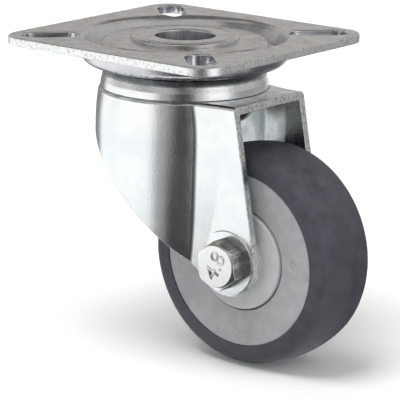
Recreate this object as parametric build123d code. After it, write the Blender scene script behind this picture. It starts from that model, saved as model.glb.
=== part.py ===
from build123d import *
from math import asin, cos, pi, radians, sin, sqrt, tan
import os

# Swivel castor: a square fixing plate, a pressed steel fork that turns under it on two rings of
# balls, and a wheel on ball bearings between the fork's legs.
#
# Lengths are in millimetres and angles in degrees. The origin is the centre of the plate's top
# face, on the swivel axis. +Z is up, +X is the side the wheel trails to, and the axle lies along
# Y, with the bolt's head at -Y. A section of a turned or pressed piece is drawn as (radius, height)
# for the swivel head and as (radius, place along the axle) for the wheel.

# ---------------------------------------------------------------- overall sizes
wheel_diameter = 50.0
wheel_headroom = 1.65          # top of the tyre to the underside of the swivel head
swivel_offset = 22.8           # swivel axis to axle

# ---------------------------------------------------------------- fixing plate
plate_side = 60.0
plate_thickness = 2.0
plate_corner = 6.0
slot_width = 6.2               # takes an M6 screw
slot_spacing_inner = 38.0      # square hole pattern reached by the slots' inner ends
slot_inset = 6.0               # their outer ends reach this far from the plate's sides
race_wall_radius = 17.4        # underside wall that keeps the upper balls in
race_drop = 1.2                # the middle of the plate lies this far under the fixing face
ring_clearance = 0.7           # pressed ring round the middle to the fork's head under it
groove_width = 2.1             # flat at the bottom of the ring, seen from above
groove_slope = 20.0            # lean of the ring's outer wall
groove_bend = 1.1
plate_bend = 2.4               # outside radius of the plate's folded edges

# ---------------------------------------------------------------- ball rings of the swivel head
race_gap = 0.05                # running clearance between a ball and its race
ball_spacing = 0.2             # least gap between neighbouring balls
upper_ball = 6.0
lower_ball = 6.35

# ---------------------------------------------------------------- hollow king pin and lower cup
pin_bore = 10.8
pin_wall = 2.0
pin_head_diameter = 24.8
pin_head_thickness = 1.0
pin_mouth = 2.3                # rounding of the bore's upper mouth
pin_foot_diameter = 23.0
pin_foot_thickness = 1.3
pin_foot_mouth = 1.2
pin_ball_gap = 0.4             # pin to the balls round it
cup_thickness = 1.5
cup_bend = 2.5
cup_clearance = 0.9            # cup's rim to the fork head above it

# ---------------------------------------------------------------- fork
fork_thickness = 1.8
leg_clearance = 2.1            # tyre's side to the leg
head_rise = 2.5                # from the crown up to the floor of the upper race
head_lip = 2.0                 # height of the lip round that floor
head_lip_width = 1.2
head_flare = 0.8               # the head's base is this much wider than its lip, on the radius
head_wall = 2.2
head_rounding = 0.5
pin_clearance = 0.8            # fork's hole to the king pin
hood_step = 0.3                # round front of the fork outside the head's base
hood_bulge = 0.7               # how much wider it gets below the crown
hood_taper = 3.5               # and how much narrower again down to the leg ends
hood_wide_depth = 8.5          # from the crown down to the widest place
crown_bend = 1.0               # outside radius of the fold from crown to walls, coined sharp
crown_bend_inside = 0.4
crease_radius = 6.0            # hollow where the round hood meets a flat leg
leg_end_radius = 7.7
front_cut_angle = 43.0         # the hood's lower edge, against the horizontal
rear_lean = 10.4               # the legs' rear edge, against the vertical
pad_margin = 0.3               # round the raised seat for the bolt's head
pad_height = 0.2
axle_hole_clearance = 0.2

# ---------------------------------------------------------------- axle bolt and nut
bolt_diameter = 6.0
bolt_overhang = 3.0            # bolt's end past the nut
shank_clearance = 0.05         # shank under its nominal size, on the radius
hex_width = 10.0               # across the flats, for head and nut
hex_turn = 37.0                # how far the head happens to be turned
head_height = 4.0
chamfer_inset = 0.3            # flat circle of head and nut, inside their flats
nut_height = 6.0
collar_inset = 0.7             # nut's round collar, inside its flats
nut_hex_height = 4.6
insert_thickness = 1.3         # nylon ring that stops the nut from turning back
insert_wall = 1.0

# ---------------------------------------------------------------- ball bearings of the wheel
bearing_bore = 6.0
bearing_outside = 19.0
bearing_width = 6.0
bearing_ball = 3.5
bearing_ball_count = 7
land_gap = 3.3                 # between the rings, beside the balls
shield_step = 0.4              # seat of the shields, cut into the outer ring
shield_thickness = 0.3
shield_recess = 0.2
shield_gap = 0.2               # shield to the inner ring
cage_gap = 0.2                 # shield to the cage
cage_wall = 1.0

# ---------------------------------------------------------------- wheel, guards and spacers
tyre_width = 17.8
tread_crown = 1.3              # how much lower the tread's edges are than its middle
tyre_shoulder = 2.8
tyre_thickness = 5.2           # over the rim, at the middle of the tread
rim_step = 0.25                # rim's edge inside the tyre's side
rim_dish = 0.5                 # rim's face sinks this much towards the hub
rib_width = 5.2                # rib that keys the tyre to the rim
rib_height = 1.5
hub_shoulder_width = 1.6       # wall between the two bearings
hub_shoulder_height = 1.5
guard_diameter = 22.8
guard_thickness = 1.7
guard_gap = 0.4                # guard to the rim round it
guard_bearing_gap = 0.3        # guard to the bearing behind it
guard_collar_diameter = 13.2
guard_rounding = 0.4
ejector_mark_diameter = 2.9    # round marks the mould leaves on the rim's sides
ejector_mark_depth = 0.12
ejector_mark_count = 4
ejector_mark_inset = 4.5       # from the rim's edge to the marks' centres
ejector_mark_turn = 3.0

# ---------------------------------------------------------------- sizes that follow from these
race_floor = -race_drop - plate_thickness                      # underside of the plate's middle
upper_pitch = race_wall_radius - race_gap - upper_ball / 2
upper_height = race_floor - race_gap - upper_ball / 2
head_floor = upper_height - upper_ball / 2 - race_gap
head_shoulder = head_floor + head_lip
groove_depth = -(head_shoulder + ring_clearance + plate_thickness)
crown_top = head_floor - head_rise
crown_under = crown_top - fork_thickness
head_under = head_floor - fork_thickness
pin_radius = pin_bore / 2 + pin_wall
lower_pitch = pin_radius + pin_ball_gap + lower_ball / 2
cup_radius = lower_pitch + lower_ball / 2 + race_gap + cup_thickness
lower_height = head_under - race_gap - lower_ball / 2
cup_floor = lower_height - lower_ball / 2 - race_gap
cup_under = cup_floor - cup_thickness
pin_top = -race_drop + pin_head_thickness
pin_bottom = cup_under - pin_foot_thickness

track_radius = upper_ball / 2 + race_gap                       # section of the upper race
lip_inside = upper_pitch + sqrt(track_radius**2 - (upper_height - head_shoulder) ** 2)
head_top_radius = lip_inside + head_lip_width
head_base_radius = head_top_radius + head_flare
head_wall_inner = head_base_radius - head_wall
hood_top_radius = head_base_radius + hood_step
hood_radius = hood_top_radius + hood_bulge
hood_low_radius = hood_radius - hood_taper

axle_height = pin_bottom - wheel_headroom - wheel_diameter / 2
axle_place = Pos(swivel_offset, 0, axle_height)

leg_inside = tyre_width / 2 + leg_clearance
leg_outside = leg_inside + fork_thickness
seat_inside = leg_inside + pad_height                          # where the spacers touch the legs
seat_outside = leg_outside + pad_height                        # where head and nut touch them
shank_radius = bolt_diameter / 2 - shank_clearance
axle_hole_radius = bolt_diameter / 2 + axle_hole_clearance
hex_face_radius = hex_width / 2 - chamfer_inset
bolt_end = seat_outside + nut_height + bolt_overhang

bearing_inner_end = hub_shoulder_width / 2
bearing_middle = bearing_inner_end + bearing_width / 2
bearing_outer_end = bearing_inner_end + bearing_width
bearing_pitch = (bearing_bore + bearing_outside) / 4
inner_land = bearing_pitch - land_gap / 2
outer_land = bearing_pitch + land_gap / 2
shield_seat = outer_land + shield_step
guard_back = bearing_outer_end + guard_bearing_gap
guard_face = guard_back + guard_thickness
rim_diameter = wheel_diameter - 2 * tyre_thickness
rim_edge = tyre_width / 2 - rim_step
rim_face_at_hub = rim_edge - rim_dish


# ---------------------------------------------------------------- helpers
def about_swivel(section):
    """Turn a (radius, height) section about the swivel axis."""
    return revolve(Plane.XZ * section, Axis.Z)


def about_axle(section):
    """Turn a (radius, place along the axle) section about the axle."""
    return axle_place * revolve(section, Axis.Y)


def axle_ring(inner_radius, outer_radius, start, end):
    """Plain ring or tube on the axle between two places along it."""
    middle = ((inner_radius + outer_radius) / 2, (start + end) / 2)
    return about_axle(Pos(*middle) * Rectangle(outer_radius - inner_radius, end - start))


def section_of(*edges):
    """Closed section from joined lines and arcs."""
    return make_face([edge for line in edges for edge in line.edges()])


def other_side(solid):
    """Mirror image on the other end of the axle."""
    return mirror(solid, about=Plane.XZ)


def ball_ring(ball, pitch, count, centre):
    """Balls evenly spaced on a circle about Z at a centre."""
    places = PolarLocations(pitch, count)
    return [Location(centre) * place * Sphere(ball / 2) for place in places]


def full_count(ball, pitch):
    """Balls that fit on a pitch circle with the least gap between them."""
    return int(pi / asin((ball + ball_spacing) / (2 * pitch)))


# ---------------------------------------------------------------- swivel head
def make_top_plate():
    """Square plate with four diagonal slots and a pressed ring that makes the upper race."""
    inner = race_wall_radius + plate_thickness
    outer_foot = inner + groove_width
    outer_top = outer_foot + groove_depth * tan(radians(groove_slope))
    flat_from = outer_top + plate_bend
    wall = groove_depth - race_drop
    disc_bend = min(plate_bend, wall - groove_bend - 0.1)
    line = FilletPolyline(
        (flat_from, 0),
        (outer_top, 0),
        (outer_foot, -groove_depth),
        (inner, -groove_depth),
        (inner, -race_drop),
        (pin_radius, -race_drop),
        radius=[plate_bend, groove_bend, groove_bend, disc_bend],
    )
    pressed = about_swivel(make_face(offset(line, plate_thickness, side=Side.LEFT)))
    square = RectangleRounded(plate_side, plate_side, plate_corner)
    border = extrude(square - Circle(flat_from), -plate_thickness)
    plate = border + pressed
    slot_spacing_outer = plate_side - 2 * slot_inset
    slot_middle = (slot_spacing_inner + slot_spacing_outer) / 4 * sqrt(2)
    slot_travel = (slot_spacing_outer - slot_spacing_inner) / 2 * sqrt(2)
    slot = Pos(slot_middle, 0) * SlotCenterToCenter(slot_travel, slot_width)
    slots = Sketch() + [Rot(0, 0, 45 + 90 * corner) * slot for corner in range(4)]
    return plate - extrude(slots, groove_depth + plate_thickness, both=True)


def make_king_pin():
    """Hollow rivet: a flanged tube, flared again under the cup."""
    bore = pin_bore / 2
    head = pin_head_diameter / 2
    foot = pin_foot_diameter / 2
    section = section_of(
        Polyline(
            (bore, pin_bottom + pin_foot_mouth),
            (bore, pin_top - pin_mouth),
        ),
        RadiusArc((bore, pin_top - pin_mouth), (bore + pin_mouth, pin_top), pin_mouth),
        Polyline(
            (bore + pin_mouth, pin_top),
            (head, pin_top),
            (head, -race_drop),
            (pin_radius, -race_drop),
            (pin_radius, cup_under),
            (foot, cup_under),
            (foot, pin_bottom),
            (bore + pin_foot_mouth, pin_bottom),
        ),
        RadiusArc(
            (bore + pin_foot_mouth, pin_bottom),
            (bore, pin_bottom + pin_foot_mouth),
            pin_foot_mouth,
        ),
    )
    return about_swivel(section)


def make_lower_cup():
    """Pressed cup, riveted on by the king pin, that holds the lower balls up to the fork."""
    outer = cup_radius
    rim = head_under - cup_clearance
    line = FilletPolyline(
        (pin_radius, cup_under),
        (outer, cup_under),
        (outer, rim),
        radius=cup_bend,
    )
    return about_swivel(make_face(offset(line, cup_thickness, side=Side.LEFT)))


def make_upper_balls():
    count = full_count(upper_ball, upper_pitch)
    return Compound(ball_ring(upper_ball, upper_pitch, count, (0, 0, upper_height)))


def make_lower_balls():
    count = full_count(lower_ball, lower_pitch)
    return Compound(ball_ring(lower_ball, lower_pitch, count, (0, 0, lower_height)))


# ---------------------------------------------------------------- fork
def hood(inset, top, bottom):
    """Round front of the fork as a barrel-shaped solid, inset by a wall."""
    widest = (hood_radius - inset, crown_top - hood_wide_depth)
    upper_end = (hood_top_radius - inset, top)
    lower_end = (hood_low_radius - inset, bottom)
    section = section_of(
        Polyline(lower_end, (0, bottom), (0, top), upper_end),
        TangentArc(widest, upper_end, tangent=(0, 1)),
        TangentArc(widest, lower_end, tangent=(0, -1)),
    )
    return about_swivel(section)


def fork_body(inset, top, crease, fold):
    """Hood and both legs as one solid, with the hollow creases and the fold round the top."""
    bottom = axle_height - 2 * leg_end_radius
    length = swivel_offset + 2 * leg_end_radius
    width = 2 * (leg_outside - inset)
    legs = extrude(Pos(length / 2, 0, top) * Rectangle(length, width), bottom - top)
    body = hood(inset, top, bottom) + legs
    creases = [
        edge
        for edge in body.edges()
        if 0 < edge.center().X < swivel_offset and edge.length > (top - bottom) / 2
    ]
    body = fillet(creases, crease)
    rims = [
        edge
        for edge in body.faces().sort_by(Axis.Z)[-1].edges()
        if edge.center().X < length - 0.01
    ]
    return fillet(rims, fold)


def side_outline():
    """Outline of the fork from the side: sloping front cut, round leg ends, leaning rear edge."""
    front = radians(front_cut_angle)
    rear = radians(rear_lean)
    front_foot = (
        swivel_offset - leg_end_radius * sin(front),
        axle_height - leg_end_radius * cos(front),
    )
    rear_foot = (
        swivel_offset + leg_end_radius * cos(rear),
        axle_height + leg_end_radius * sin(rear),
    )
    above = crown_top + 1
    reach = front_foot[0] + 1.5 * hood_radius
    corners = [
        rear_foot,
        (rear_foot[0] - (above - rear_foot[1]) * tan(rear), above),
        (front_foot[0] - reach, above),
        (front_foot[0] - reach, front_foot[1] + reach * tan(front)),
        front_foot,
        (swivel_offset, axle_height),
    ]
    end = Pos(swivel_offset, axle_height) * Circle(leg_end_radius)
    return make_face(Polyline(*corners, close=True)) + end


def fork_head():
    """Raised head of the fork: lip and floor of the upper race, flat underside for the lower."""
    shoulder = head_shoulder
    hole = pin_radius + pin_clearance
    under_track = track_radius + fork_thickness
    meets_wall = upper_height - sqrt(under_track**2 - (head_wall_inner - upper_pitch) ** 2)
    section = section_of(
        Polyline(
            (upper_pitch, head_floor),
            (hole, head_floor),
            (hole, head_under),
            (upper_pitch, head_under),
        ),
        RadiusArc((upper_pitch, head_under), (head_wall_inner, meets_wall), -under_track),
        Polyline(
            (head_wall_inner, meets_wall),
            (head_wall_inner, crown_under),
            (head_base_radius, crown_under),
            (head_base_radius, crown_top),
            (head_top_radius, shoulder),
            (lip_inside, shoulder),
        ),
        RadiusArc((lip_inside, shoulder), (upper_pitch, head_floor), track_radius),
    )
    lip = [corner for corner in section.vertices() if abs(corner.Y - shoulder) < 1e-6]
    return about_swivel(fillet(lip, head_rounding))


def bolt_seats():
    """Round pads raised round the axle holes on the outside, sunk by as much on the inside."""
    pad = leg_end_radius - pad_margin
    raised = axle_ring(0, pad, leg_outside - fork_thickness / 2, seat_outside)
    sunk = axle_ring(0, pad, leg_inside - pad_height, seat_inside)
    return raised + other_side(raised), sunk + other_side(sunk)


def make_fork():
    """Fork pressed from one sheet: round hood in front, two flat legs, open at the back."""
    outside = fork_body(0, crown_top, crease_radius, crown_bend)
    inside = fork_body(
        fork_thickness,
        crown_under,
        crease_radius + fork_thickness,
        crown_bend_inside,
    )
    blank = extrude(Plane.XZ * side_outline(), 2 * hood_radius, both=True)
    opening = Pos(0, 0, crown_top) * Cylinder(head_wall_inner, 3 * fork_thickness)
    raised, sunk = bolt_seats()
    hole = axle_ring(0, axle_hole_radius, -hood_radius, hood_radius)
    return ((outside - inside) & blank) - opening + fork_head() + raised - sunk - hole


# ---------------------------------------------------------------- axle bolt and nut
def hexagon(start, height, across, turn):
    """Six-sided prism on the axle, from a place along it towards +Y."""
    outline = Rot(0, 0, turn) * RegularPolygon(across / 2, 6, major_radius=False)
    return axle_place * Pos(0, start, 0) * extrude(Plane.XZ * outline, -height)


def chamfer_cone(face_place, reach, inward):
    """Cone that cuts a hexagon's corners back to a round face; it widens inward at 30 degrees."""
    widen = reach * tan(radians(60))
    return about_axle(
        make_face(
            Polyline(
                (0, face_place),
                (hex_face_radius, face_place),
                (hex_face_radius + widen, face_place + inward * reach),
                (0, face_place + inward * reach),
                close=True,
            )
        )
    )


def make_axle_bolt():
    """Hexagon bolt; its thread is left plain."""
    face = -seat_outside - head_height
    head = hexagon(face, head_height, hex_width, hex_turn)
    head = head & chamfer_cone(face, head_height, 1)
    shank = axle_ring(0, shank_radius, -seat_outside, bolt_end)
    return head + shank


def make_axle_nut():
    """Locking nut: hexagon with a round collar that holds the insert."""
    start = seat_outside
    hexagonal = hexagon(start, nut_hex_height, hex_width, 0)
    end = start + nut_hex_height
    hexagonal = hexagonal & chamfer_cone(end, nut_hex_height, -1)
    collar = axle_ring(0, hex_width / 2 - collar_inset, start, start + nut_height)
    bore = axle_ring(0, shank_radius, start, start + nut_height)
    seat = axle_ring(0, shank_radius + insert_wall, *insert_span())
    mouth = axle_ring(0, shank_radius + insert_wall / 2, insert_span()[1], start + nut_height)
    return hexagonal + collar - bore - seat - mouth


def insert_span():
    """Where the insert lies along the axle, just inside the nut's collar."""
    end = seat_outside + nut_height - insert_wall / 2
    return end - insert_thickness, end


def make_nut_insert():
    return axle_ring(shank_radius, shank_radius + insert_wall, *insert_span())


# ---------------------------------------------------------------- wheel bearings
def make_inner_ring():
    """Inner ring of the bearing at +Y, with the groove its balls run in."""
    bore = bearing_bore / 2
    groove = Pos(bearing_pitch, bearing_middle) * Circle(bearing_ball / 2 + race_gap)
    middle = Pos((bore + inner_land) / 2, bearing_middle)
    return about_axle(middle * Rectangle(inner_land - bore, bearing_width) - groove)


def make_outer_ring():
    """Outer ring of the bearing at +Y, grooved for the balls and stepped for the shields."""
    outside = bearing_outside / 2
    groove = Pos(bearing_pitch, bearing_middle) * Circle(bearing_ball / 2 + race_gap)
    middle = Pos((outside + outer_land) / 2, bearing_middle)
    blank = middle * Rectangle(outside - outer_land, bearing_width)
    step = Rectangle(2 * shield_step, 2 * (shield_recess + shield_thickness))
    ends = (bearing_inner_end, bearing_outer_end)
    steps = Sketch() + [Pos(outer_land, end) * step for end in ends]
    return about_axle(blank - groove - steps)


def make_shield(toward_leg):
    """Pressed shield in the outer ring's step; it clears the inner ring."""
    if toward_leg:
        start = bearing_outer_end - shield_recess - shield_thickness
    else:
        start = bearing_inner_end + shield_recess
    return axle_ring(inner_land + shield_gap, shield_seat, start, start + shield_thickness)


def bearing_ball_places():
    centre = axle_place * Pos(0, bearing_middle, 0) * Rot(90, 0, 0)
    return [centre * place for place in PolarLocations(bearing_pitch, bearing_ball_count)]


def make_bearing_balls():
    return Compound([place * Sphere(bearing_ball / 2) for place in bearing_ball_places()])


def make_cage():
    """Ring that keeps the bearing's balls apart, with a round pocket for each."""
    half = bearing_width / 2 - shield_recess - shield_thickness - cage_gap
    inside = bearing_pitch - cage_wall / 2
    outside = bearing_pitch + cage_wall / 2
    ring = axle_ring(inside, outside, bearing_middle - half, bearing_middle + half)
    pocket = Rot(0, 90, 0) * Cylinder(bearing_ball / 2 + race_gap, 2 * cage_wall)
    return ring - [place * pocket for place in bearing_ball_places()]


# ---------------------------------------------------------------- wheel
def make_rim():
    """Moulded rim: hub with two bearing seats, dished sides and a rib that keys the tyre."""
    outside = rim_diameter / 2
    seat = bearing_outside / 2
    shoulder = seat - hub_shoulder_height
    recess = guard_diameter / 2 + guard_gap
    half = [
        (shoulder, bearing_inner_end),
        (seat, bearing_inner_end),
        (seat, bearing_outer_end),
        (recess, bearing_outer_end),
        (recess, rim_face_at_hub),
        (outside, rim_edge),
        (outside, rib_width / 2),
        (outside + rib_height, rib_width / 2),
    ]
    other_half = [(radius, -place) for radius, place in reversed(half)]
    rim = about_axle(make_face(Polyline(*half, *other_half, close=True)))
    mark_circle = outside - ejector_mark_inset
    mark = Cylinder(ejector_mark_diameter / 2, 2 * ejector_mark_depth)
    for face_place in (-1, 1):
        centre = axle_place * Pos(0, face_place * (rim_edge - rim_dish / 2), 0) * Rot(90, 0, 0)
        for place in PolarLocations(mark_circle, ejector_mark_count, ejector_mark_turn):
            rim = rim - centre * place * mark
    return rim


def make_tyre():
    """Soft tyre moulded over the rim, with a crowned tread and round shoulders."""
    half_width = tyre_width / 2
    inside = rim_diameter / 2
    outside = wheel_diameter / 2
    half_rib = rib_width / 2
    section = section_of(
        Polyline(
            (outside - tread_crown, half_width),
            (inside, half_width),
            (inside, half_rib),
            (inside + rib_height, half_rib),
            (inside + rib_height, -half_rib),
            (inside, -half_rib),
            (inside, -half_width),
            (outside - tread_crown, -half_width),
        ),
        ThreePointArc(
            (outside - tread_crown, -half_width),
            (outside, 0),
            (outside - tread_crown, half_width),
        ),
    )
    shoulders = [
        corner for corner in section.vertices() if corner.X > outside - 2 * tread_crown - 0.01
    ]
    side = outside - tread_crown - inside
    return about_axle(fillet(shoulders, min(tyre_shoulder, 0.9 * side)))


# ---------------------------------------------------------------- guards and spacers
def make_spacer():
    """Steel bush between the bearing's inner ring and the leg at +Y."""
    return axle_ring(bearing_bore / 2, inner_land, bearing_outer_end, seat_inside)


def make_hub_spacer():
    """Short tube between the two inner rings."""
    return axle_ring(bearing_bore / 2, inner_land, -bearing_inner_end, bearing_inner_end)


def make_thread_guard():
    """Plastic disc pressed on the spacer: it keeps thread and fluff out of the bearing at +Y."""
    bore = inner_land
    outside = guard_diameter / 2
    collar = guard_collar_diameter / 2
    section = make_face(
        Polyline(
            (bore, guard_back),
            (outside, guard_back),
            (outside, guard_face),
            (collar, guard_face),
            (collar, seat_inside),
            (bore, seat_inside),
            close=True,
        )
    )
    edge = section.vertices().sort_by(Axis.X)[-2:].sort_by(Axis.Y)[-1]
    return about_axle(fillet(edge, guard_rounding))


PIECES = {
    "top_plate": make_top_plate(),
    "king_pin": make_king_pin(),
    "lower_cup": make_lower_cup(),
    "upper_balls": make_upper_balls(),
    "lower_balls": make_lower_balls(),
    "fork": make_fork(),
    "axle_bolt": make_axle_bolt(),
    "axle_nut": make_axle_nut(),
    "nut_insert": make_nut_insert(),
    "hub_spacer": make_hub_spacer(),
    "rim": make_rim(),
    "tyre": make_tyre(),
}

# Pieces that come in pairs, made at the nut's end (+Y) and mirrored to the head's end.
PAIRS = {
    "spacer": make_spacer(),
    "thread_guard": make_thread_guard(),
    "bearing_inner_ring": make_inner_ring(),
    "bearing_outer_ring": make_outer_ring(),
    "bearing_cage": make_cage(),
    "bearing_balls": make_bearing_balls(),
    "outer_shield": make_shield(toward_leg=True),
    "inner_shield": make_shield(toward_leg=False),
}

for name, piece in PAIRS.items():
    PIECES[f"nut_side_{name}"] = piece
    PIECES[f"head_side_{name}"] = other_side(piece)

os.makedirs("parts", exist_ok=True)
for name, piece in PIECES.items():
    export_step(piece, f"parts/{name}.step")
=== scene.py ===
# %% [markdown]
# # A swivel castor
# A castor is a wheel that finds its own direction. A pressed fork turns under a square fixing
# plate on two rings of balls, and it carries a small wheel well to one side of the turning axis.
# Every visible surface here is a table of points worked out with numpy, because the real parts
# come from a lathe, a press or a mould, and each of those shapes is a short formula.

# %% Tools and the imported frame
from math import acos, atan2, cos, degrees, pi, radians, sin, sqrt, tan

import bmesh
import bpy
import numpy as np
from mathutils import Matrix, Vector
from mathutils.geometry import delaunay_2d_cdt


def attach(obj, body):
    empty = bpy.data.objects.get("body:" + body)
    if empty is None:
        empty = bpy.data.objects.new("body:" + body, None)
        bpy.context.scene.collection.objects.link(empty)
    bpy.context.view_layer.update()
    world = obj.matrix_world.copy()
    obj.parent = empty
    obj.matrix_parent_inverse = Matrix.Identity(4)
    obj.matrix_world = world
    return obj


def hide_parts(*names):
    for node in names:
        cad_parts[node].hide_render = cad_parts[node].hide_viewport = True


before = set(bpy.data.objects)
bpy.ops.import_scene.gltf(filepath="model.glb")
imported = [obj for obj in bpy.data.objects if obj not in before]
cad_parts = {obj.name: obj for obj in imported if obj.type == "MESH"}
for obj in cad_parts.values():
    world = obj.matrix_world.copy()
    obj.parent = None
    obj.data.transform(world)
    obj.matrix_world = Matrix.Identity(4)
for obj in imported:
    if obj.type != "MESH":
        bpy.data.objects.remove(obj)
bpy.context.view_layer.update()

# %% [markdown]
# ## Tables of points
# A surface is a table of points with rows and columns. Neighbouring points make four-sided faces,
# so one function can skin every table. Lengths are in millimetres until the mesh is made.

# %% Skin a table of points
MM = 0.001


def skin(points, wrap_rows=False, wrap_columns=False):
    """Faces over a table: each joins a point with its neighbours in the next row and column."""
    rows, columns = points.shape[:2]
    index = np.arange(rows * columns).reshape(rows, columns)
    if wrap_rows:
        index = np.vstack([index, index[:1]])
    if wrap_columns:
        index = np.hstack([index, index[:, :1]])
    faces = np.stack([index[:-1, :-1], index[:-1, 1:], index[1:, 1:], index[1:, :-1]], -1)
    return points.reshape(-1, 3), faces.reshape(-1, 4).tolist()


def between(first, second, shares):
    """Table whose rows lead from one line of points to another: first (1 - s) + second s."""
    shares = np.asarray(shares)[:, None, None]
    return first[None] * (1 - shares) + second[None] * shares


# %% [markdown]
# ## Rounded outlines
# Nothing that is pressed or turned has a perfectly sharp edge, and the thin highlight on each
# rounding is what makes metal look solid. Corners of an outline become arcs, and one extra point
# a hair outside each arc keeps the flats beside it flat when they are shaded.

# %% Outline with rounded corners
HOLD = 0.05


def rounded(corners, radii, steps=5, closed=True):
    """Turn corners into arcs: an arc of radius r starts r / tan(half the inner angle) before.

    Where a side is short, the arc shrinks to just under half of it.
    """
    corners = np.asarray(corners, float)
    radii = np.broadcast_to(radii, len(corners))
    line = []
    for number, (corner, radius) in enumerate(zip(corners, radii)):
        at_end = not closed and number in (0, len(corners) - 1)
        if radius == 0 or at_end:
            line.append(corner[None])
            continue
        back = corners[number - 1] - corner
        ahead = corners[(number + 1) % len(corners)] - corner
        room = 0.49 * min(np.linalg.norm(back), np.linalg.norm(ahead))
        back, ahead = back / np.linalg.norm(back), ahead / np.linalg.norm(ahead)
        half = acos(np.clip(back @ ahead, -1, 1)) / 2
        reach = min(radius / tan(half), room)
        radius = reach * tan(half)
        centre = corner + (back + ahead) / np.linalg.norm(back + ahead) * radius / sin(half)
        swing = pi - 2 * half
        share = np.linspace(0, 1, steps + 1)[:, None]
        from_centre = np.sin((1 - share) * swing) * (corner + back * reach - centre)
        to_centre = np.sin(share * swing) * (corner + ahead * reach - centre)
        arc = centre + (from_centre + to_centre) / sin(swing)
        if reach + HOLD < room:
            arc = np.vstack([arc[:1] + back * HOLD, arc, arc[-1:] + ahead * HOLD])
        line.append(arc)
    return np.vstack(line)


# %% Circles, and sections turned about an axis
AXLE_X, AXLE_Z = 22.8, -47.0
AXLE = (AXLE_X, AXLE_Z)


def full_turn(count):
    """Angles of a full turn in equal steps, without the last one, which is the first again."""
    return np.arange(count) * 2 * pi / count


def unit(angles):
    """Points (cos a, sin a) of a circle with radius 1."""
    return np.stack([np.cos(angles), np.sin(angles)], -1)


def about_swivel(section, angles):
    """Rows at angles about the swivel axis: (r cos a, r sin a, h) for a section of (r, h)."""
    radius, height = np.asarray(section, float).T
    level = unit(angles)[:, None] * radius[:, None]
    return np.dstack([level, np.broadcast_to(height, level.shape[:2])])


def about_axle(section, angles):
    """The same about the axle: (X + r cos a, place, Z + r sin a) for a section of (r, place)."""
    return about_swivel(section, angles)[..., [0, 2, 1]] + (AXLE_X, 0, AXLE_Z)


# %% [markdown]
# ## From tables to a piece
# The tables of one piece share their border points, so they are joined and the doubles merged.
# After that the shell is closed, and Blender can turn all of its faces outwards.

# %% Meshes and what their points remember
FULL_EDGE = radians(25)


def read(items, name, width, kind=float):
    """Read one property of many mesh items: a table of a given width, or a line of numbers."""
    values = np.zeros(len(items) * width, kind)
    items.foreach_get(name, values)
    return values.reshape(-1, width) if width > 1 else values


def store(mesh, name, values):
    """Keep one number per vertex under a name that a material can read."""
    mesh.attributes.new(name, "FLOAT", "POINT").data.foreach_set("value", values)


def mesh_of(name, points, faces):
    """Mesh from points in millimetres."""
    mesh = bpy.data.meshes.new(name)
    mesh.from_pydata((np.asarray(points, float) * MM).tolist(), [], faces)
    return mesh


def put(name, data):
    """Put an object into the scene."""
    made = bpy.data.objects.new(name, data)
    bpy.context.scene.collection.objects.link(made)
    return made


def edge_strength(mesh):
    """How strongly each vertex turns: the largest angle between faces at it, over a full edge."""
    faces = np.repeat(np.arange(len(mesh.polygons)), read(mesh.polygons, "loop_total", 1, int))
    faces = faces[np.argsort(read(mesh.loops, "edge_index", 1, int), kind="stable")]
    normals = read(mesh.polygons, "normal", 3)[faces].reshape(-1, 2, 3)
    turn = np.arccos(np.clip((normals[:, 0] * normals[:, 1]).sum(-1), -1, 1))
    strength = np.zeros(len(mesh.vertices))
    np.maximum.at(strength, read(mesh.edges, "vertices", 2, int), turn[:, None])
    return np.clip(strength / FULL_EDGE, 0, 1)


# %% Zones with a finish of their own
def in_zone(zone, tables):
    """Name the zone that some tables belong to."""
    return [(points, faces, zone) for points, faces, *_ in tables]


def banded(points, bands, across=False, **wraps):
    """Skin a table in bands of rows, or of columns when across.

    A band names its zone and the last line that it reaches. The next band starts on that line.
    """
    tables, start = [], 0
    for zone, last in bands:
        part = slice(start, None if last is None else last + 1)
        tables += in_zone(zone, [skin(points[:, part] if across else points[part], **wraps)])
        start = last
    return tables


# %% Make one piece of the castor
dressed = []


def make_piece(name, tables, body, slot, *nodes, sharp=40):
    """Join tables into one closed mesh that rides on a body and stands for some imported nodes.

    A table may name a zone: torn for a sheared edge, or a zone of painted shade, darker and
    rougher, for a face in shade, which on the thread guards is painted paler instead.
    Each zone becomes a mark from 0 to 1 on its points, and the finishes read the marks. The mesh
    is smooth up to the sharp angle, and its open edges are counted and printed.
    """
    points, faces, marks, start = [], [], {"torn": [], "dull": []}, 0
    for table_points, table_faces, *zone in tables:
        points.append(table_points)
        faces += [[corner + start for corner in face] for face in table_faces]
        for mark in marks:
            marks[mark].append(np.full(len(table_points), float(mark in zone)))
        start += len(table_points)
    mesh = mesh_of(name, np.vstack(points), faces)
    for mark, values in marks.items():
        store(mesh, mark, np.concatenate(values))
    shell = bmesh.new()
    shell.from_mesh(mesh)
    bmesh.ops.remove_doubles(shell, verts=shell.verts, dist=2e-6)
    bmesh.ops.dissolve_degenerate(shell, edges=shell.edges, dist=1e-7)
    bmesh.ops.recalc_face_normals(shell, faces=shell.faces)
    open_edges = sum(1 for edge in shell.edges if not edge.is_manifold)
    shell.to_mesh(mesh)
    shell.free()
    store(mesh, "edge", edge_strength(mesh))
    mesh.polygons.foreach_set("use_smooth", np.ones(len(mesh.polygons), bool))
    mesh.set_sharp_from_angle(angle=radians(sharp))
    piece = put(name, mesh)
    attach(piece, body)
    if nodes:
        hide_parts(*nodes)
    dressed.append((piece, slot))
    print(f"{name}: {len(mesh.polygons)} faces, {open_edges} open edges")


# %% [markdown]
# ## The fixing plate
# The plate is one pressing. Its flat border carries four slots, and a ring pressed down round the
# middle makes the upper race. Near the ring the border already bends, and the slots cut into that
# bend, so height there is a function of the distance from the axis for top and underside alike.

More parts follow.
